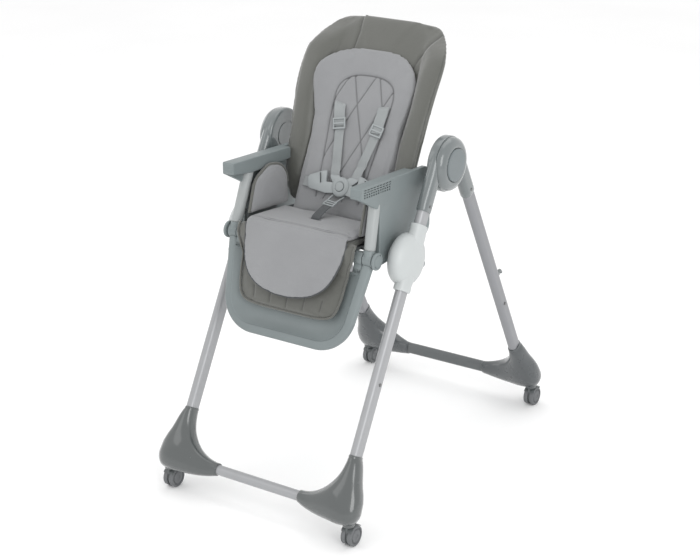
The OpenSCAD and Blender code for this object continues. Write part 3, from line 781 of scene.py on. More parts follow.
def height_button(name):
    """The button in a pocket behind the slider."""
    profile = [(0, -0.4), (10.9, -0.4), (10.9, 16), (10.3, 17.2), (9, 17.8), (5, 18.1), (0, 18.2)]
    return turned(name, profile, HEIGHT_BUTTON, 40, "Y", FRONT_LEG, 38)


# The side panel's outline, as (y, z, radius)
PANEL = [(-289, 783, 3), (-12, 767, 24), (5, 748, 20), (5, 604, 30), (-40, 592, 60), (-208, 582, 14),
         (-215, 596, 10), (-215, 714, 8), (-289, 755, 4)]


def top_line(y):
    """Height of the armrest's top at y."""
    return 783 - (y + 289) * 16 / 277


def side_panel(name):
    """A side of the seat with its armrest, its grille of slots and the ribbed front cap."""
    bm = bmesh.new()
    prism(bm, rounded(PANEL, 10), 177, 189, "X")
    wall = bevelled(solid(name, bm), 2.6, 4, 50)
    bm = bmesh.new()
    armrest = [(-289, 783, 3), (-62, 769.9, 6), (-62, 741, 6), (-215, 744, 3), (-289, 755, 4)]
    prism(bm, rounded(armrest, 5), 158, 184.5, "X")
    prism(bm, rounded([(-215, 716, 3), (-203, 716, 3), (-201, 590, 6), (-214, 590, 3)], 4), 173.5, 184, "X")
    arm = bevelled(solid("arm", bm), 3.2, 4, 50)
    tool = bmesh.new()
    for row, (drop, tall, long, pitch) in enumerate([(6.4, 2.3, 9.5, 12.6), (11.6, 2.3, 9.5, 12.6),
                                                     (17.2, 3.8, 5.6, 9.2), (23, 3.8, 5.6, 9.2)]):
        y = -279.0
        while y + long < -160 - 3 * row:
            z0, z1, half = top_line(y) - drop, top_line(y + long) - drop, tall / 2
            slot = [(y, z0 - half), (y + long, z1 - half), (y + long, z1 + half), (y, z0 + half)]
            prism(tool, slot, 185, 190, "X")
            y += pitch
    cut(wall, tool)
    bm = bmesh.new()
    front = [(-289.8, 781, 2), (-287, 781, 1), (-287, 756.5, 1), (-289.8, 757, 2)]
    prism(bm, rounded(front, 3), 160, 187, "X")
    for z in (762, 768.5, 775):
        prism(bm, rectangle(-290.3, z - 1.2, -288, z + 1.2), 163, 184, "X")
    cap = bevelled(solid("cap", bm), 0.5, 2)
    return crisp(joined(name, [wall, arm, cap]), 30)


def round_bar(bm, top, low, stations):
    """A round bar between two points; stations are (fraction along it, radius) pairs."""
    side = Vector((1, 0, 0))
    across = (low - top).normalized().cross(side)
    loft(bm, [[top.lerp(low, k) + side * r * math.cos(a) + across * r * math.sin(a)
               for a in np.linspace(0, 2 * math.pi, 40, endpoint=False)] for k, r in stations])


KNUCKLE = (0, -250, 608)
KNEE_TOP, KNEE_RING, KNEE_LOW = (Vector(p) for p in ((173.9, -207.9, 754.4), (183.3, -247.6, 629),
                                                     (184.6, -252, 612)))


def knee_tube(name):
    """The pale tube under the armrest's front end."""
    bm = bmesh.new()
    round_bar(bm, KNEE_TOP, KNEE_RING,
              [(0, 13.2), (0.5, 13.2), (0.975, 13.2), (0.985, 12.8), (0.99, 11.8), (1, 11.8)])
    return solid(name, bm, WORLD, 32)


def knee_barrel(name):
    """The foot of that tube, with the knuckle that the footrest turns on."""
    bm = bmesh.new()
    round_bar(bm, KNEE_RING, KNEE_LOW, [(0, 13), (0.06, 13.6), (1, 13.6)])
    lathe(bm, [(0, 173.8)] + rim(16.5, 173.8, 197.2, 1.6) + [(0, 197.2)], KNUCKLE, 64)
    return solid(name, bm, WORLD, 32)


def footrest_button(name):
    """The disc on the knuckle's outer end, with two dimples."""
    profile = [(0, 188), (2.8, 188), (2.8, 200.6), (17, 200.6), (19.4, 201.2), (20, 202.4), (20, 205.6),
               (19.2, 207), (17.6, 207.6), (15.4, 207.6), (14.8, 206.8), (13.6, 206.8), (13, 207.8), (0, 208.2)]
    piece = turned(name, profile, KNUCKLE, 64, "X", WORLD)
    tool = bmesh.new()
    for y, z in ((-241, 621), (-262, 598)):
        rod(tool, 1.7, 205, 210, (0, y, z), 16)
    return crisp(cut(piece, tool), 30)


def seat_base(name):
    """The pan, with ribs below, arms to the side panels and ears for the back's rod."""
    bm = bmesh.new()
    block(bm, (-148, 8, -36), (148, 158, -29.2))
    for x in (-166, 148):
        block(bm, (x, 46, -36), (x + 18, 158, -29.2))
    for x in (-120, -60, 0, 60, 120):
        block(bm, (x - 1.5, 14, -40), (x + 1.5, 154, -34))
    for y in (30, 80, 130):
        block(bm, (-146, y - 1.5, -40), (146, y + 1.5, -34))
    for x in (-176.8, 164.6):
        block(bm, (x, 46, -40), (x + 12.2, 158, 2))
    pan = solid(name, bm, SEAT)
    bm = bmesh.new()
    ear = [(-128, 608, 3), (-128, 632, 3), (-80, 627, 4), (-60, 626, 8), (-46, 612, 8), (-60, 599, 8)]
    for x in (145.8, -156.8):
        prism(bm, rounded(ear, 5), x, x + 11, "X")
    return crisp(bevelled(joined(name, [pan, solid("ears", bm)]), 1.0, 2), 35)


for stem, build, material, slot, body, cad in (
        ("slider_housing", slider, PALE, "pale_plastic", "seat", "slider_SIDE"),
        ("height_knob", height_button, DISC, "panel_plastic", "height_button_SIDE", "height_button_SIDE"),
        ("armrest_panel", side_panel, SATIN, "panel_plastic", "seat", "side_panel_SIDE"),
        ("knee_joint", knee_tube, KNEE_PALE, "pale_plastic", "seat", "knee_tube_SIDE"),
        ("knee_barrel", knee_barrel, SATIN, "panel_plastic", "seat", ""),
        ("footrest_disc", footrest_button, SATIN, "panel_plastic", "footrest_button_SIDE",
         "footrest_button_SIDE")):
    on_both_sides(stem, build, material, slot, body, cad)
dress(seat_base("seat_pan"), DARK, "panel_plastic", "seat", "seat_base")


# ---- footrest ------------------------------------------------------------------------------
def foot_half(inset, top):
    """The footrest's outline, inset from its edge, with its upper end at top."""
    length, taper = 224, 0.139
    return both_halves([(199 - inset + taper * top, top, 0),
                        (199 - inset - taper * (length - inset), -length + inset, 91 - inset)])


def footrest_rim(name):
    """The U-shaped rim, cut for the knuckles and joined to its two barrels."""
    path = [Vector((x, 0, t)) for x, t in rounded(foot_half(13.5, 4), 28)]
    rings = []
    for i, p in enumerate(path):
        tangent = (path[min(i + 1, len(path) - 1)] - path[max(i - 1, 0)]).normalized()
        out = tangent.cross(Vector((0, 1, 0)))
        rings.append([p + out * px + Vector((0, py, 0)) for px, py in superellipse(13.2, 11, 2.5, 28)])
    loop = lofted(name, rings, FOOT)
    tool = bmesh.new()
    for s in (1, -1):
        rod(tool, 17.3, s * 165, s * 205, sides=72)
        block(tool, (s * 185 - 20, -20, -6), (s * 185 + 20, 20, 20))
    cut(loop, tool, FOOT)
    bm = bmesh.new()
    for s in (1, -1):
        barrel = [(0, 151)] + rim(16.5, 151, 172.4, 1.4) + [(0, 172.4)]
        lathe(bm, [(r, s * x) for r, x in barrel], sides=56)
        block(bm, (s * 162 - 10, -8.5, -33), (s * 162 + 10, 8.5, -9))
        block(bm, (s * 171 - 19, -8.5, -34), (s * 171 + 19, 8.5, -24))
    return crisp(joined(name, [loop, solid("blocks", bm, FOOT)]), 40)


def footrest_panel(name):
    """The dished plate inside the rim: it curves forward to meet the rim all round."""
    outer = rounded(foot_half(25, -35.5), 28)
    centre = Vector((0, -95))
    front, back = [], []
    for k in (1.03, 1.01, 0.99, 0.97, 0.95, 0.93, 0.9, 0.87, 0.84, 0.8, 0.76, 0.7, 0.5, 0.25):
        rise = -13 * max(0.0, (k - 0.74) / 0.26) ** 1.8
        loop = [centre + (Vector(p) - centre) * k for p in outer]
        front.append([(p.x, 4.5 + rise, p.y) for p in loop])
        back.append([(p.x, 8 + rise * 0.75, p.y) for p in loop])
    return lofted(name, front[::-1] + back, FOOT, 50)


dress(footrest_rim("footrest_loop"), SATIN, "panel_plastic", "footrest", "footrest_rim")
dress(footrest_panel("footrest_dish"), SATIN, "panel_plastic", "footrest", "footrest_panel")


# ---- back shell and lever ------------------------------------------------------------------
def back_shell(name):
    """The back's plate with its ribs, the barrels on the rod and the ears for the lever."""
    bm = bmesh.new()
    prism(bm, rounded(both_halves([(132, 34, 12), (149, 442, 60)]), 10), 26.8, 32)
    plate = bevelled(solid(name, bm, BACK), 2.2, 3, 50)
    bm = bmesh.new()
    for x in (-110, -55, 55, 110):
        prism(bm, rectangle(x - 3, 60, x + 3, 420, 2), 31, 36)
    for t in (70, 190, 300, 400):
        prism(bm, rectangle(-126, t - 2.5, 126, t + 2.5, 2), 31, 35)
    barrel = [(5.2, 118)] + rim(12, 118, 141.5, 1) + [(5.2, 141.5)]
    bracket = [(-8, 0, 2), (6, -9, 2), (36, 30, 6), (36, 70, 4), (28, 60, 2), (28, 22, 2), (9, 14, 2)]
    ear = [(34, 310, 1), (50, 322, 3), (50, 338, 3), (34, 350, 1)]
    for s in (1, -1):
        lathe(bm, [(r, s * x) for r, x in barrel], sides=40)
        for outline, middle, half in ((bracket, 129.75, 11.75), (ear, 31, 3)):
            prism(bm, rounded(outline, 4), s * middle - half, s * middle + half, "X")
    ribs = bevelled(solid("ribs", bm, BACK), 0.8, 2)
    return crisp(joined(name, [plate, ribs]), 35)


def recline_lever(name):
    """The paddle behind the back, with three grip ribs."""
    bm = bmesh.new()
    lathe(bm, [(0, -34), (2, -34), (2, -27), (5, -27), (5, 27), (2, 27), (2, 34), (0, 34)], (0, 44, 330), 28)
    prism(bm, rectangle(-26, 314, 26, 332, 2), 47, 52)
    prism(bm, rounded([(-40, 272, 10), (40, 272, 10), (40, 316, 6), (-40, 316, 6)], 6), 47, 51)
    for t in (280, 287, 294):
        prism(bm, rectangle(-28, t - 1.4, 28, t + 1.4, 1.2), 50, 52)
    return crisp(bevelled(solid(name, bm, BACK), 0.8, 2), 35)


dress(back_shell("back_plate"), SATIN, "panel_plastic", "back", "back_shell")
dress(recline_lever("recline_paddle"), PALE, "pale_plastic", "recline_release", "recline_lever")


# ---- cushions ------------------------------------------------------------------------------
CLOTH_FRAMES = 20
PRESSURE = 4.0


def facing(matrix, direction):
    """The world's unit vector for a direction in a leaning frame."""
    return (matrix.to_3x3() @ Vector(direction)).normalized()


def puffed(name, rings, matrix, voxel, out, cap, soften=4):
    """A cushion: a lofted shape, remeshed and blown up as cloth. The side that faces away from out
    stays where it is, and nothing moves more than cap, in millimetres."""
    piece = modified(lofted(name, rings, matrix), "REMESH", mode="VOXEL", voxel_size=voxel * MM,
                     use_smooth_shade=True)
    piece = relaxed(piece, soften)
    away = points_of(piece, "normal") @ np.array(out)
    group = piece.vertex_groups.new(name="held")
    group.add([int(i) for i in np.nonzero(away < -0.25)[0]], 1.0, "REPLACE")
    before = points_of(piece)
    mod = piece.modifiers.new("cloth", "CLOTH")
    cloth = mod.settings
    cloth.quality = 4
    cloth.mass = 0.25
    cloth.tension_stiffness = cloth.compression_stiffness = 14
    cloth.shear_stiffness = 6
    cloth.bending_stiffness = 0.6
    cloth.use_pressure = True
    cloth.uniform_pressure_force = PRESSURE
    cloth.vertex_group_mass = "held"
    cloth.effector_weights.gravity = 0
    mod.point_cache.frame_start, mod.point_cache.frame_end = 1, CLOTH_FRAMES
    for frame_number in range(1, CLOTH_FRAMES + 1):
        bpy.context.scene.frame_set(frame_number)
    after = apply_modifiers(piece)
    move = points_of(after) - before
    far = np.linalg.norm(move, axis=1, keepdims=True)
    limit = cap * MM
    set_points(piece, before + move / np.maximum(far, 1e-9) * limit * np.tanh(far / limit))
    bpy.context.scene.frame_set(1)
    piece.vertex_groups.clear()
    return modified(relaxed(piece, 1), "SUBSURF", levels=1, render_levels=1)


def near(points, line):
    """Distance of each 2-D point from a polyline, in the polyline's units."""
    line = np.array([tuple(p)[:2] for p in line], float)
    gaps = []
    for a, b in zip(line, line[1:]):
        run = b - a
        t = np.clip(((points - a) @ run) / (run @ run), 0, 1)
        gaps.append(np.linalg.norm(points - (a + t[:, None] * run), axis=1))
    return np.min(gaps, axis=0)


def flat_points(piece, matrix):
    """A piece's points in a leaning frame, in millimetres."""
    inverse = np.array(matrix.inverted())
    co = points_of(piece)
    return co @ inverse[:3, :3].T + inverse[:3, 3]


def sewn(piece, matrix, lines, depth=2.2, width=3.0, only=None, flat=False):
    """Presses seams into the front of a cushion, or into its top if it lies flat, along lines given in
    the leaning frame's plane; marks them for the painted shade that the materials put in the grooves."""
    local = flat_points(piece, matrix)
    normals = points_of(piece, "normal")
    look = facing(matrix, (0, 0, 1) if flat else (0, -1, 0))
    front = np.clip((normals @ np.array(look) - 0.1) / 0.35, 0, 1)
    if only is not None:
        front = front * only(local)
    plane = local[:, (0, 1) if flat else (0, 2)]
    gap = np.min([near(plane, line) for line in lines], axis=0)
    press = np.exp(-(gap / width) ** 2) * front
    set_points(piece, points_of(piece) - normals * (press * depth * MM)[:, None])
    layers = piece.data.attributes
    layer = layers.get("seam") or layers.new("seam", "FLOAT", "POINT")
    kept = np.zeros(len(local), np.float32)
    layer.data.foreach_get("value", kept)
    # Where the materials paint shade into the seam's groove.
    groove_shade = np.exp(-(gap / (width * 0.42)) ** 2) * front
    layer.data.foreach_set("value", np.maximum(kept, groove_shade).astype(np.float32))
    return piece


def surface(piece):
    """A piece's surface, to cast rays at."""
    bm = bmesh.new()
    bm.from_mesh(piece.data)
    tree = BVHTree.FromBMesh(bm)
    bm.free()
    return tree


def on_surface(tree, x, t, lift):
    """The point of a surface in front of (x, t) in the quilt's frame, lifted by lift millimetres."""
    ray = facing(INSERT, (0, 1, 0))
    hit = tree.ray_cast(INSERT @ Vector((x, -160, t)), ray)[0]
    return hit - ray * lift * MM if hit else None


def slab_rings(rows, power):
    """Rings for a padded slab. Each row is (middle, outward direction, half width, half thickness)."""
    return [[middle + Vector((px, 0, 0)) + normal * py for px, py in superellipse(half, thick, power, 72)]
            for middle, normal, half, thick in rows]


# Back: a dark padded shell with a wing down each side
# Half the back's width at its wings, by height
RIDGE = [(24, 168), (60, 172), (180, 180), (260, 186), (320, 190), (365, 192), (400, 189), (425, 181),
         (445, 170), (462, 157), (474, 144), (483, 128)]


def wing_section(t):
    """The outline of the back across the chair at height t, in the back's frame."""
    ridge = interp(t, RIDGE)
    tip = interp(t, [(24, -8), (60, -30), (130, -44), (240, -44), (320, -40), (365, -32), (406, -20),
                     (432, -5), (453, 14), (470, 28), (481, 35)])
    face = interp(t, [(24, 2), (200, 0), (300, 0), (380, 1), (420, 5), (450, 14), (475, 27), (484, 34)])
    rear = interp(t, [(24, 18), (60, 24), (436, 25), (456, 34), (474, 45), (484, 52)])
    narrow = interp(t, [(24, 144), (264, 147), (323, 150), (371, 158), (418, 161), (453, 152), (470, 142),
                        (481, 126)])
    inner = interp(t, [(24, 122), (180, 122), (240, 128), (300, 134), (390, 134), (440, 120), (481, 92)])
    side = min(12.0, 0.45 * (rear - tip))
    right = [(0, face), (50, face), (inner - 24, face), (inner - 10, face + 0.12 * (tip - face)),
             (inner - 2, face + 0.6 * (tip - face)), (inner + 8, face + 0.93 * (tip - face)),
             ((inner + ridge) / 2, tip - 1), (ridge - 12, tip), (ridge - 3, tip + 0.15 * side),
             (ridge, tip + 0.5 * side), (ridge - 3, tip + 1.3 * side),
             ((ridge + narrow) / 2, (tip + rear) / 2 + 2), (narrow, rear - 7), (narrow - 7, rear),
             (narrow - 40, rear), (narrow * 0.35, rear)]
    loop = right + [(0, rear)] + [(-x, y) for x, y in reversed(right[1:])]
    return catmull([(x, y, 0) for x, y in loop], 5, closed=True)


def back_pad(name):
    """The dark padded back with its wings and headrest."""
    rings = []
    heights = [24, 27, 33, 42] + list(range(56, 440, 14)) + [448, 456, 463, 469, 474, 478, 481, 483.5]
    for t in heights:
        k = interp(t, [(24, 0.93), (27, 0.97), (42, 1.0), (478, 1.0), (483.5, 0.96)])
        crown = interp(t, [(400, 0), (470, 1)])
        full = interp(t, [(420, 0), (450, 0.035), (470, 0.055), (483, 0.055)])
        rings.append([(p.x * k * (1 + full * (p.x < 0)), 4 + (p.y - 4) * k,
                       t + crown * (13 - 17 * (p.x / 150) ** 2)) for p in wing_section(t)])
    piece = puffed(name, rings, BACK, 5.5, facing(BACK, (0, -1, 0)), 5.0, soften=6)
    sewn(piece, BACK, [[(-86, 504), (-81, 484), (-73, 445), (-74, 405), (-75, 380)]], depth=2.8, width=3.4)
    sewn(piece, BACK, [[(150, 480), (132, 447), (108, 400), (100, 376)]], width=4.4)
    edges = [[(s * (interp(t, RIDGE) - 5), t) for t in range(40, 440, 12)] for s in (1, -1)]
    return sewn(piece, BACK, edges, depth=1.2, width=2.6)


# The seam round the quilted field of the back insert
HALF_ARCH = [(60, 62, 0), (66, 135, 0), (76, 242, 0), (80, 290, 0), (80, 318, 0), (71, 342, 0), (50, 357, 0),
             (22, 363.5, 0)]
ARCH = catmull([(-x, t, 0) for x, t, _ in HALF_ARCH] + HALF_ARCH[::-1], 5)


def in_arch(local):
    """1 inside the quilted field of the back insert, 0 outside it."""
    x, t = np.abs(local[:, 0]), local[:, 2]
    curve = [p for p in ARCH if p.x >= 0]
    wide = np.interp(t, [p.y for p in reversed(curve)], [p.x for p in reversed(curve)])
    return ((x < wide) & (t < 363)).astype(float)


def settled(piece):
    """The back insert as it lies in use: narrower at the waist, its upper edge up on one wing."""
    local = flat_points(piece, INSERT)
    x, t = local[:, 0].copy(), local[:, 2]
    edge = np.clip(np.abs(x) / 130, 0, 1.1) ** 2
    one = np.interp(t, [12, 100, 200, 260, 320, 360, 395, 431],
                    [0.96, 0.96, 0.91, 0.93, 1.0, 1.03, 1.06, 1.05])
    other = np.interp(t, [12, 115, 190, 244, 280, 310, 354, 431],
                      [0.96, 0.945, 0.93, 0.9, 0.94, 0.97, 0.99, 1.0])
    local[:, 0] = x * (1 + (np.where(x < 0, one, other) - 1) * edge)
    lift = np.clip((-x - 70) / 60, 0, 1) ** 1.5 * np.interp(t, [250, 360, 431], [0, 1, 1])
    local[:, 1] -= 20 * lift
    matrix = np.array(INSERT)
    set_points(piece, local @ matrix[:3, :3].T + matrix[:3, 3])
    return piece


def back_insert(name):
    """The light quilt on the back, with its lattice of seams."""
    outline = rounded(both_halves([(122, 12, 8), (133, 230, 400), (138, 431, 98)]), 16)

    def back_off(t):
        return interp(t, [(330, 0), (380, 4), (433, 12)])

    def askew(t):
        return float(np.interp(t, [120, 300], [0, -6]))

    rows = []
    for k, y in ((0.94, 3.0), (0.975, 0.8), (1.0, 3.6)):
        rows.append([(x * k + askew(t), y + back_off(t), 220 + (t - 220) * k) for x, t in outline])
    rear = [(x + askew(t), 3.6 + max(3.0, (433 - t) * 0.127) + back_off(t), t) for x, t in outline]
    rows += [rear, [(x * 0.97, y + 2, 220 + (t - 220) * 0.97) for x, y, t in rear]]
    piece = puffed(name, rows, INSERT, 4.0, facing(INSERT, (0, -1, 0)), 4.0, soften=5)
    lattice = [[(x0 + lean * (t - 292), t) for t in range(60, 366, 6)]
               for x0 in (-12, 58, -82) for lean in (0.4167, -0.4167)]
    sewn(piece, INSERT, [ARCH], depth=3.2, width=3.6)
    return settled(sewn(piece, INSERT, lattice, depth=2.4, width=3.2, only=in_arch))


dress(back_pad("back_cushion"), LEATHER, "leatherette", "back", "back_pad", padded=0.8)
quilt = dress(back_insert("back_quilt"), CLOTH, "quilt", "back", "back_insert", padded=0.6)


# Seat: dark cushion, light insert, hip bolsters
def seat_slab(name, half, top, bottom, front, voxel, cap):
    """A flat cushion on the seat, from its front edge to the back."""
    back = 153
    outline = rounded(both_halves([(half, front, 16), (half, back, 8)]), 6)
    mid = (front + back) / 2
    rows = [[(x * k, mid + (y - mid) * k, z) for x, y in outline]
            for k, z in ((0.965, bottom), (1.0, bottom + 3), (1.0, top - 3), (0.975, top))]
    return puffed(name, rows, SEAT, voxel, facing(SEAT, (0, 0, 1)), cap)


dress(seat_slab("seat_cushion", 146, -15, -28, 3, 5.0, 1.5), LEATHER, "leatherette", "seat", "seat_pad",
      padded=0.8)


def seat_insert(name):
    """The light insert, with two seams along its front edge and a slot for the crotch strap."""
    piece = seat_slab(name, 140.5, -1.0, -13.6, 1.5, 4.0, 2.6)
    sewn(piece, SEAT, [[(-141, y), (141, y)] for y in (13, 18)], depth=1.3, width=2.0, flat=True)
    return sewn(piece, SEAT, [[(-14, 79), (14, 79)]], depth=5.0, width=3.2, flat=True)


dress(seat_insert("seat_quilt"), CLOTH, "quilt", "seat", "seat_insert", padded=0.6)


# The hip pad's outline, in (y, z)
BOLSTER = rounded([(-241, 652, 4), (-216, 728, 40), (-162, 752, 50), (-88, 738, 58), (-86, 640, 4)], 12)


def bolster(name):
    """A tall pad beside the hips, facing inward."""
    cy, cz = (sum(p[k] for p in BOLSTER) / len(BOLSTER) for k in (0, 1))
    rows = [[(x, cy + (y - cy) * k, cz + (z - cz) * k) for y, z in BOLSTER]
            for k, x in ((0.90, 147.0), (0.97, 148.2), (1.0, 151.5), (1.0, 156), (0.97, 158))]
    return puffed(name, rows, WORLD, 4.0, (-1, 0, 0), 4.0)


def bolster_binding(name):
    """The dark strip sewn round the upper edge of a hip pad."""
    bm = bmesh.new()
    tube(bm, [(152.5, y, z) for y, z in BOLSTER if z > 655], 3.6, 12)
    return solid(name, bm)


dress(doubled("hip_cushions", bolster("bolster")), CLOTH, "quilt", "seat", "hip_bolsters", padded=0.6)
dress(doubled("hip_binding", bolster_binding("binding")), LEATHER, "leatherette", "seat")

# Footrest: a dark pad on the rim, and a light flap that rolls over the seat's front edge

def on_foot(t):
    """The point of the calf pad's middle line at t on the footrest, in the world's millimetres."""
    p = FOOT @ Vector((0, -6.5, t))
    return 0, p.y / MM, p.z / MM


CALF_OUT = Vector((0, -0.9, 0.42))
CALF_LINE = catmull([(0, -255, 638), (0, -265, 634), (0, -271.5, 622), (0, -271.5, 602), (0, -272.5, 585)]
                    + [on_foot(t) for t in (-46, -80, -110, -135, -149, -154)], 5)
# The pad's half width, by the share of its length
CALF_HALF = [(0, 156), (0.1, 160), (0.2, 160), (0.3, 156), (0.4, 150), (0.5, 146), (0.7, 139), (0.8, 131),
             (0.88, 117), (0.95, 93), (1, 62)]


def along_calf(line, i):
    """Unit normal, pointing forward, of the pad's middle line at its i-th point."""
    tangent = (line[min(i + 1, len(line) - 1)] - line[max(i - 1, 0)]).normalized()
    return tangent.cross(Vector((1, 0, 0))).normalized()


def calf_pad(name):
    """The dark pad: it starts under the seat's front edge, bends down and lies on the footrest."""
    rows = []
    for i, p in enumerate(CALF_LINE):
        s = i / (len(CALF_LINE) - 1)
        thick = interp(s, [(0, 4), (0.1, 6.5), (0.2, 8), (0.9, 8), (0.96, 6.5), (1, 4)])
        rows.append((p, along_calf(CALF_LINE, i), interp(s, CALF_HALF), thick))
    piece = puffed(name, slab_rings(rows, 4.0), WORLD, 4.5, CALF_OUT, 3.0, soften=3)
    channels = [[(x, -112), (x * 0.97, -146 + abs(x) * 0.1)] for x in (-94, -47, 0, 47, 94)]
    return sewn(piece, FOOT, channels, width=3.2)


def edge_cord(name, line, halves, inset, lift, radius, first=0.0):
    """A piping along the rim of a pad that is swept along line, on its front side."""
    side = []
    for i, p in enumerate(line):
        s = i / (len(line) - 1)
        if s >= first:
            side.append(p + along_calf(line, i) * lift + Vector((interp(s, halves) - inset, 0, 0)))
    other = [Vector((-p.x, p.y, p.z)) for p in reversed(side)]
    bm = bmesh.new()
    tube(bm, catmull(side + other, 3), radius, 10)
    return solid(name, bm)


CALF_BEND = ("seat", "footrest", (0, -0.266, 0.634), (0, -0.272, 0.590))
FLAP_BEND = ("seat", "footrest", (0, -0.268, 0.650), (0, -0.288, 0.612))
dress(calf_pad("calf_cushion"), LEATHER, "leatherette", CALF_BEND, "calf_pad", padded=0.7)
dress(edge_cord("calf_piping", CALF_LINE, CALF_HALF, 1.5, 5.0, 2.6, 0.08), LEATHER, "leatherette", CALF_BEND)


def by_length(line):
    """The same curve with evenly spaced points."""
    reach = np.concatenate([[0], np.cumsum([(b - a).length for a, b in zip(line, line[1:])])])
    marks = np.linspace(0, reach[-1], len(line))
    return [Vector([float(np.interp(m, reach, [p[k] for p in line])) for k in range(3)]) for m in marks]


FLAP_LINE = by_length(catmull([(0, y, z) for y, z in (
    (-252, 655), (-262, 656.5), (-271.5, 653), (-277.5, 645), (-281.5, 632), (-287, 615), (-297, 593),
    (-310, 565), (-322, 539), (-331.5, 518), (-334, 512))], 5))
FLAP_HALF = [(0, 134), (0.06, 140), (0.3, 137), (0.5, 130), (0.65, 121), (0.78, 108), (0.88, 88), (0.95, 62),
             (0.985, 36), (1, 20)]


def calf_flap(name):
    """The light flap: it starts on the seat, rolls over its edge and hangs in front of the calf pad."""
    rows = []
    for i, p in enumerate(FLAP_LINE):
        s = i / (len(FLAP_LINE) - 1)
        thick = interp(s, [(0, 2.0), (0.08, 3.4), (0.2, 6.5), (0.85, 6.5), (0.97, 4.2), (1, 2.4)])
        normal = along_calf(FLAP_LINE, i)
        rows.append((p - normal * (thick + 0.5), normal, interp(s, FLAP_HALF), thick))
    return puffed(name, slab_rings(rows, 3.6), WORLD, 4.0, CALF_OUT, 4.0, soften=2)


dress(calf_flap("calf_flap"), CLOTH, "quilt", FLAP_BEND, "calf_insert", padded=0.5)
# The dark cord is the flap's binding and also the shadow along its edge: partly the binding's own colour,
# partly painted shadow.
dress(edge_cord("flap_binding", FLAP_LINE, FLAP_HALF, 0.5, -7.5, 1.7, 0.16), DARK_AND_SHADED_STRAP, "webbing", FLAP_BEND)


# ---- harness -------------------------------------------------------------------------------
QUILT_TREE = surface(quilt)


def band(bm, path, wide, across, thick):
    """A flat strap along path, with its width laid in the direction across and a UV map for its weave."""
    layer = bm.loops.layers.uv.get("weave") or bm.loops.layers.uv.new("weave")
    pts = [Vector(p) for p in path]
    run, rows = 0.0, []
    for i, p in enumerate(pts):
        run += (p - pts[i - 1]).length if i else 0.0
        tangent = (pts[min(i + 1, len(pts) - 1)] - pts[max(i - 1, 0)]).normalized()
        side = (across - tangent * across.dot(tangent)).normalized()
        up = tangent.cross(side)
        h, e, t = wide / 2 * MM, 0.6 * MM, thick / 2 * MM
        section = ((-h, 0), (-h + e, t), (-h * 0.6, t * 1.15), (0, t * 1.2), (h * 0.6, t * 1.15), (h - e, t),
                   (h, 0), (h - e, -t), (0, -t), (-h + e, -t))
        rows.append(([(bm.verts.new(p + side * px + up * py), px) for px, py in section], run))
    for (a, ra), (b, rb) in zip(rows, rows[1:]):
        for k in range(len(a)):
            j = (k + 1) % len(a)
            face = bm.faces.new((a[k][0], a[j][0], b[j][0], b[k][0]))
            for loop, uv in zip(face.loops, ((a[k][1], ra), (a[j][1], ra), (b[j][1], rb), (b[k][1], rb))):
                loop[layer].uv = uv
    bm.faces.new([v for v, _ in reversed(rows[0][0])])
    bm.faces.new([v for v, _ in rows[-1][0]])


def laid(points, steps=8):
    """World points over the quilt, above a smooth line through (x, t, height above the cloth) points."""
    hits = [on_surface(QUILT_TREE, p.x, p.y, STRAP_LIFT + p.z) for p in catmull(points, steps)]
    return [hit for hit in hits if hit]


STRAP_LIFT = 1.6
BUCKLE_X, BUCKLE_T = 9.0, 92.0
STRAP_LOW = {1: Vector((42, 114)), -1: Vector((-14, 114))}
STRAP_MIDDLE = {1: Vector((64, 238)), -1: Vector((-41, 242))}
STRAP_TOP = {1: Vector((64, 291)), -1: Vector((-55, 286))}
ACROSS, OUTWARD, UPWARD = (facing(INSERT, v) for v in ((1, 0, 0), (0, -1, 0), (0, 0, 1)))


def shoulder_strap(side):
    """One strap: a lower run from the buckle to its slider, and an upper one through the slot."""
    bm = bmesh.new()
    cross = (ACROSS * side + UPWARD * 0.42).normalized()
    low, middle = STRAP_LOW[side], STRAP_MIDDLE[side]
    lower = laid([(*low, 9), (*low.lerp(middle, 0.3), 6.5), (*low.lerp(middle, 0.6), 4), (*middle, 3)])
    band(bm, lower, 24, cross, 1.6)
    top = STRAP_TOP[side]
    heights = ((-0.15, 5.4), (0.4, 4.8), (0.75, 3.6), (1, 0.5), (1.12, -7))
    upper = laid([(*middle.lerp(top, k), h) for k, h in heights])
    band(bm, upper, 29, (ACROSS * side + UPWARD * 0.2).normalized(), 3.0)
    return solid("strap", bm, IDENTITY, 50)


def waist_strap(side):
    """One waist strap, from under its tongue to where it goes behind the quilt."""
    bm = bmesh.new()
    x = BUCKLE_X * side
    path = laid([(side * a, BUCKLE_T, h)
                 for a, h in ((82 + x, 6.5), (92 + x, 4), (104 + x * 0.5, 0), (109 + x * 0.5, -9))])
    band(bm, path, 24, UPWARD, 1.6)
    return solid("waist", bm, IDENTITY, 50)


def axes_at(origin, *axes):
    """A frame in millimetres at a point of the world, from its three unit axes."""
    return Matrix.Translation(origin) @ Matrix(axes).transposed().to_4x4() @ Matrix.Scale(MM, 4)


def adjuster(side):
    """A three-bar slider on the shoulder strap."""
    low, middle = STRAP_LOW[side], STRAP_MIDDLE[side]
    here = laid([(*low.lerp(middle, k), 5.8) for k in (0.9, 0.98, 1.06)], 2)
    along = (here[-1] - here[0]).normalized()
    cross = along.cross(OUTWARD).normalized()
    bm = bmesh.new()
    for x in (-16.5, 13):
        block(bm, (x, -3.2, -13.5), (x + 3.5, 1.2, 13.5))
    for z in (-13.5, -1.9, 9.7):
        block(bm, (-15.5, -3.6, z), (15.5, 1.0, z + 3.8))
    frame_of_strap = axes_at(here[2], cross, along.cross(cross), along)
    return crisp(bevelled(solid("adjuster", bm, frame_of_strap), 1.0, 2), 40)


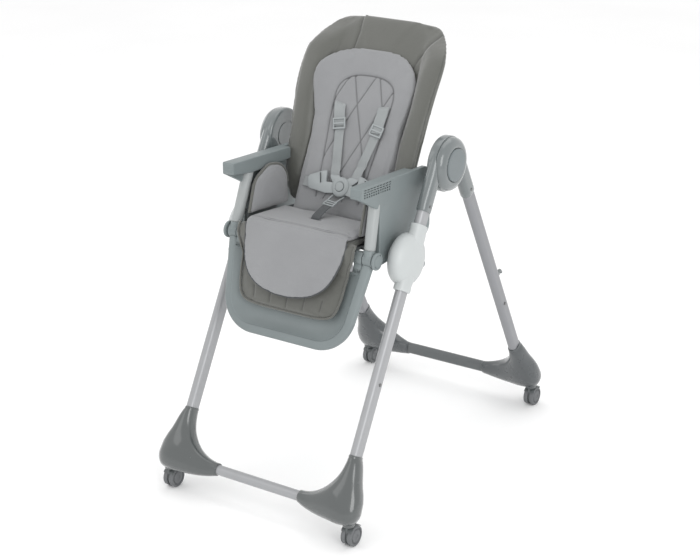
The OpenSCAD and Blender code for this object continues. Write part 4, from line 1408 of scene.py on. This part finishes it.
for stem, build, material, slot_name, cad_node in (
        ("shoulder_webbing", shoulder_strap, STRAP, "webbing", "shoulder_straps"),
        ("waist_webbing", waist_strap, STRAP, "webbing", "waist_straps"),
        ("strap_sliders", adjuster, BUCKLE, "buckle_plastic", "strap_adjusters")):
    dress(joined(stem, [build(1), build(-1)]), material, slot_name, "back", cad_node)


def buckle(name):
    """The round buckle with a slotted tongue at each side and two strap ends above."""
    profile = [(0, -3), (20, -3), (22.4, -4), (23.4, -6), (23.4, -12.4), (22.4, -14.6), (20, -16),
               (16, -16.8), (13.4, -17.1), (12.4, -16.8), (11.6, -15.8), (11.4, -10.6), (0, -10.6)]
    body = turned(name, profile, (BUCKLE_X, 0, BUCKLE_T), 72, "Y", INSERT)
    bm = bmesh.new()
    for s in (1, -1):
        dx, dt = s * (STRAP_LOW[s].x - BUCKLE_X), STRAP_LOW[s].y - BUCKLE_T
        plate = [(14, -16, 2), (38, -20, 6), (86, -15, 8), (95, 13, 8), (58, 30, 4), (46, 33, 3), (42, 6, 4),
                 (16, 8, 2)]
        strap_end = [(dx * 0.3 - 10, 10, 2), (dx * 0.4 + 13, 6, 3), (dx + 13, dt + 1, 3),
                     (dx - 13, dt + 4, 3)]
        for outline, steps, face in ((plate, 5, -7.5), (strap_end, 4, -7)):
            corners = [(BUCKLE_X + s * x, BUCKLE_T + t, r) for x, t, r in outline]
            prism(bm, rounded(corners, steps), -13, face)
    tongues = solid("tongues", bm, INSERT)
    bm = bmesh.new()
    for s in (1, -1):
        slit = [(BUCKLE_X + s * x, BUCKLE_T + t) for x, t in ((54, 2), (58, 1), (65, 24), (61, 25.5))]
        prism(bm, slit, -20, 0)
    cut(tongues, bm, INSERT)
    bevelled(tongues, 1.0, 2)
    return crisp(joined(name, [body, tongues]), 35)


def buckle_button(name):
    """The release button in the buckle's recess."""
    profile = [(0, -15.4), (10.9, -15.4), (10.9, -17.4), (10.2, -18.3), (8, -18.8), (0, -18.2)]
    return turned(name, profile, (BUCKLE_X, 0, BUCKLE_T), 48, "Y", INSERT, 35)


dress(buckle("harness_buckle"), BUCKLE, "buckle_plastic", "back", "buckle")
dress(buckle_button("harness_button"), BUCKLE, "buckle_plastic", "harness_release", "buckle_button")

# Crotch strap: out of a slot in the seat, through an adjuster, and two rods up to the buckle
ADJUSTER = Vector((0.005, -0.140, 0.677))
TOP = INSERT @ Vector((BUCKLE_X, -9, BUCKLE_T - 21))


def crotch_strap(name):
    """The webbing from the seat's slot to its adjuster."""
    bm = bmesh.new()
    path = [SEAT @ Vector(p) for p in ((0, 79, -6), (0, 80, 3), (1, 88, 10), (3, 103, 19))]
    path = catmull(path + [ADJUSTER + Vector((0, -0.002, -0.001))], 6)
    band(bm, path, 23, Vector((1, 0, 0)), 2.0)
    return solid(name, bm, IDENTITY, 50)


def crotch_ring(name):
    """The adjuster on the crotch strap, and the two rods from it to the buckle."""
    along = (TOP - ADJUSTER).normalized()
    cross = Vector((1, 0, 0))
    cross = (cross - along * cross.dot(along)).normalized()
    bm = bmesh.new()
    for x in (-15.5, 12.5):
        block(bm, (x, -9, -1.6), (x + 3, 9, 2.4))
    for y in (-9, -1.4, 6):
        block(bm, (-14.5, y, -1.4), (14.5, y + 3, 2.7))
    bar = bevelled(solid(name, bm, axes_at(ADJUSTER, cross, along, cross.cross(along))), 0.9, 2)
    bm = bmesh.new()
    for s in (1, -1):
        start, end = ADJUSTER + cross * s * 0.011 + along * 0.006, TOP + cross * s * 0.015
        middle = start.lerp(end, 0.5) + Vector((s * 0.001, -0.003, 0.001))
        tube(bm, catmull([start, middle, end], 6), 1.9 * MM, 12)
    return crisp(joined(name, [bar, solid("rods", bm, IDENTITY)]), 40)


# The crotch strap uses the darker copy of the webbing: painted shade.
dress(crotch_strap("crotch_webbing"), DARK_AND_SHADED_STRAP, "webbing", "seat", "crotch_strap")
dress(crotch_ring("crotch_ring"), BUCKLE, "buckle_plastic", ("seat", "back", tuple(ADJUSTER), tuple(TOP)))


# ---- stage ---------------------------------------------------------------------------------
CAMERA_PLACE = (1.9579, -3.0348, 1.8180)       # fitted to the photo
CAMERA_TURN, CAMERA_RISE = math.radians(33.235), math.radians(20.847)
FOCAL_LENGTH, SENSOR = 81.69, 36
AIM = Vector((0, -0.05, 0.55))                 # what the lamps point at
LAMPS = {"key": ((3.2, -2.2, 2.0), 1.8, 46), "fill": ((-1.8, -2.4, 3.0), 1.6, 10),
         "strip_left": ((-2.4, 0.2, 1.3), 1.0, 5), "top": ((0.2, 0.8, 3.4), 2.0, 14)}
FLOOR_HALF = 12000


def staged(name, data):
    """An object from camera or light data, in the scene."""
    thing = bpy.data.objects.new(name, data)
    bpy.context.scene.collection.objects.link(thing)
    return thing


def build_stage():
    """The photo's camera, a white studio world, four area lamps and the paper floor."""
    scene = bpy.context.scene
    scene.view_settings.view_transform = "Standard"
    turn, rise = CAMERA_TURN, CAMERA_RISE
    back = Vector((math.sin(turn) * math.cos(rise), -math.cos(turn) * math.cos(rise), math.sin(rise)))
    right = Vector((math.cos(turn), math.sin(turn), 0))
    view = Matrix((right, back.cross(right), back)).transposed()
    data = bpy.data.cameras.new("camera")
    data.lens, data.sensor_width = FOCAL_LENGTH, SENSOR
    scene.camera = staged("camera", data)
    scene.camera.matrix_world = Matrix.Translation(CAMERA_PLACE) @ view.to_4x4()

    scene.world = bpy.data.worlds.new("studio")
    scene.world.use_nodes = True
    background = scene.world.node_tree.nodes["Background"]
    background.inputs["Color"].default_value = (1, 1, 1, 1)
    background.inputs["Strength"].default_value = 1.0
    for name, (place, size, power) in LAMPS.items():
        light = bpy.data.lights.new(name, "AREA")
        light.shape = "RECTANGLE"
        light.size, light.size_y, light.energy = size, size * 1.4, power
        lamp = staged(name, light)
        lamp.location = place
        lamp.rotation_euler = (AIM - Vector(place)).to_track_quat("-Z", "Y").to_euler()

    s = Shader("floor_paper")
    patches = s.spread(s.noise(1.5, 2), 0.3, 0.7, 0, 1)
    s.finish(s.mix(patches, (0.96, 0.96, 0.96, 1), (0.98, 0.98, 0.98, 1)), 0.8)
    bm = bmesh.new()
    bmesh.ops.create_grid(bm, x_segments=1, y_segments=1, size=FLOOR_HALF)
    floor = new_piece("floor", bm)
    floor.data.materials.append(s.material)


build_stage()
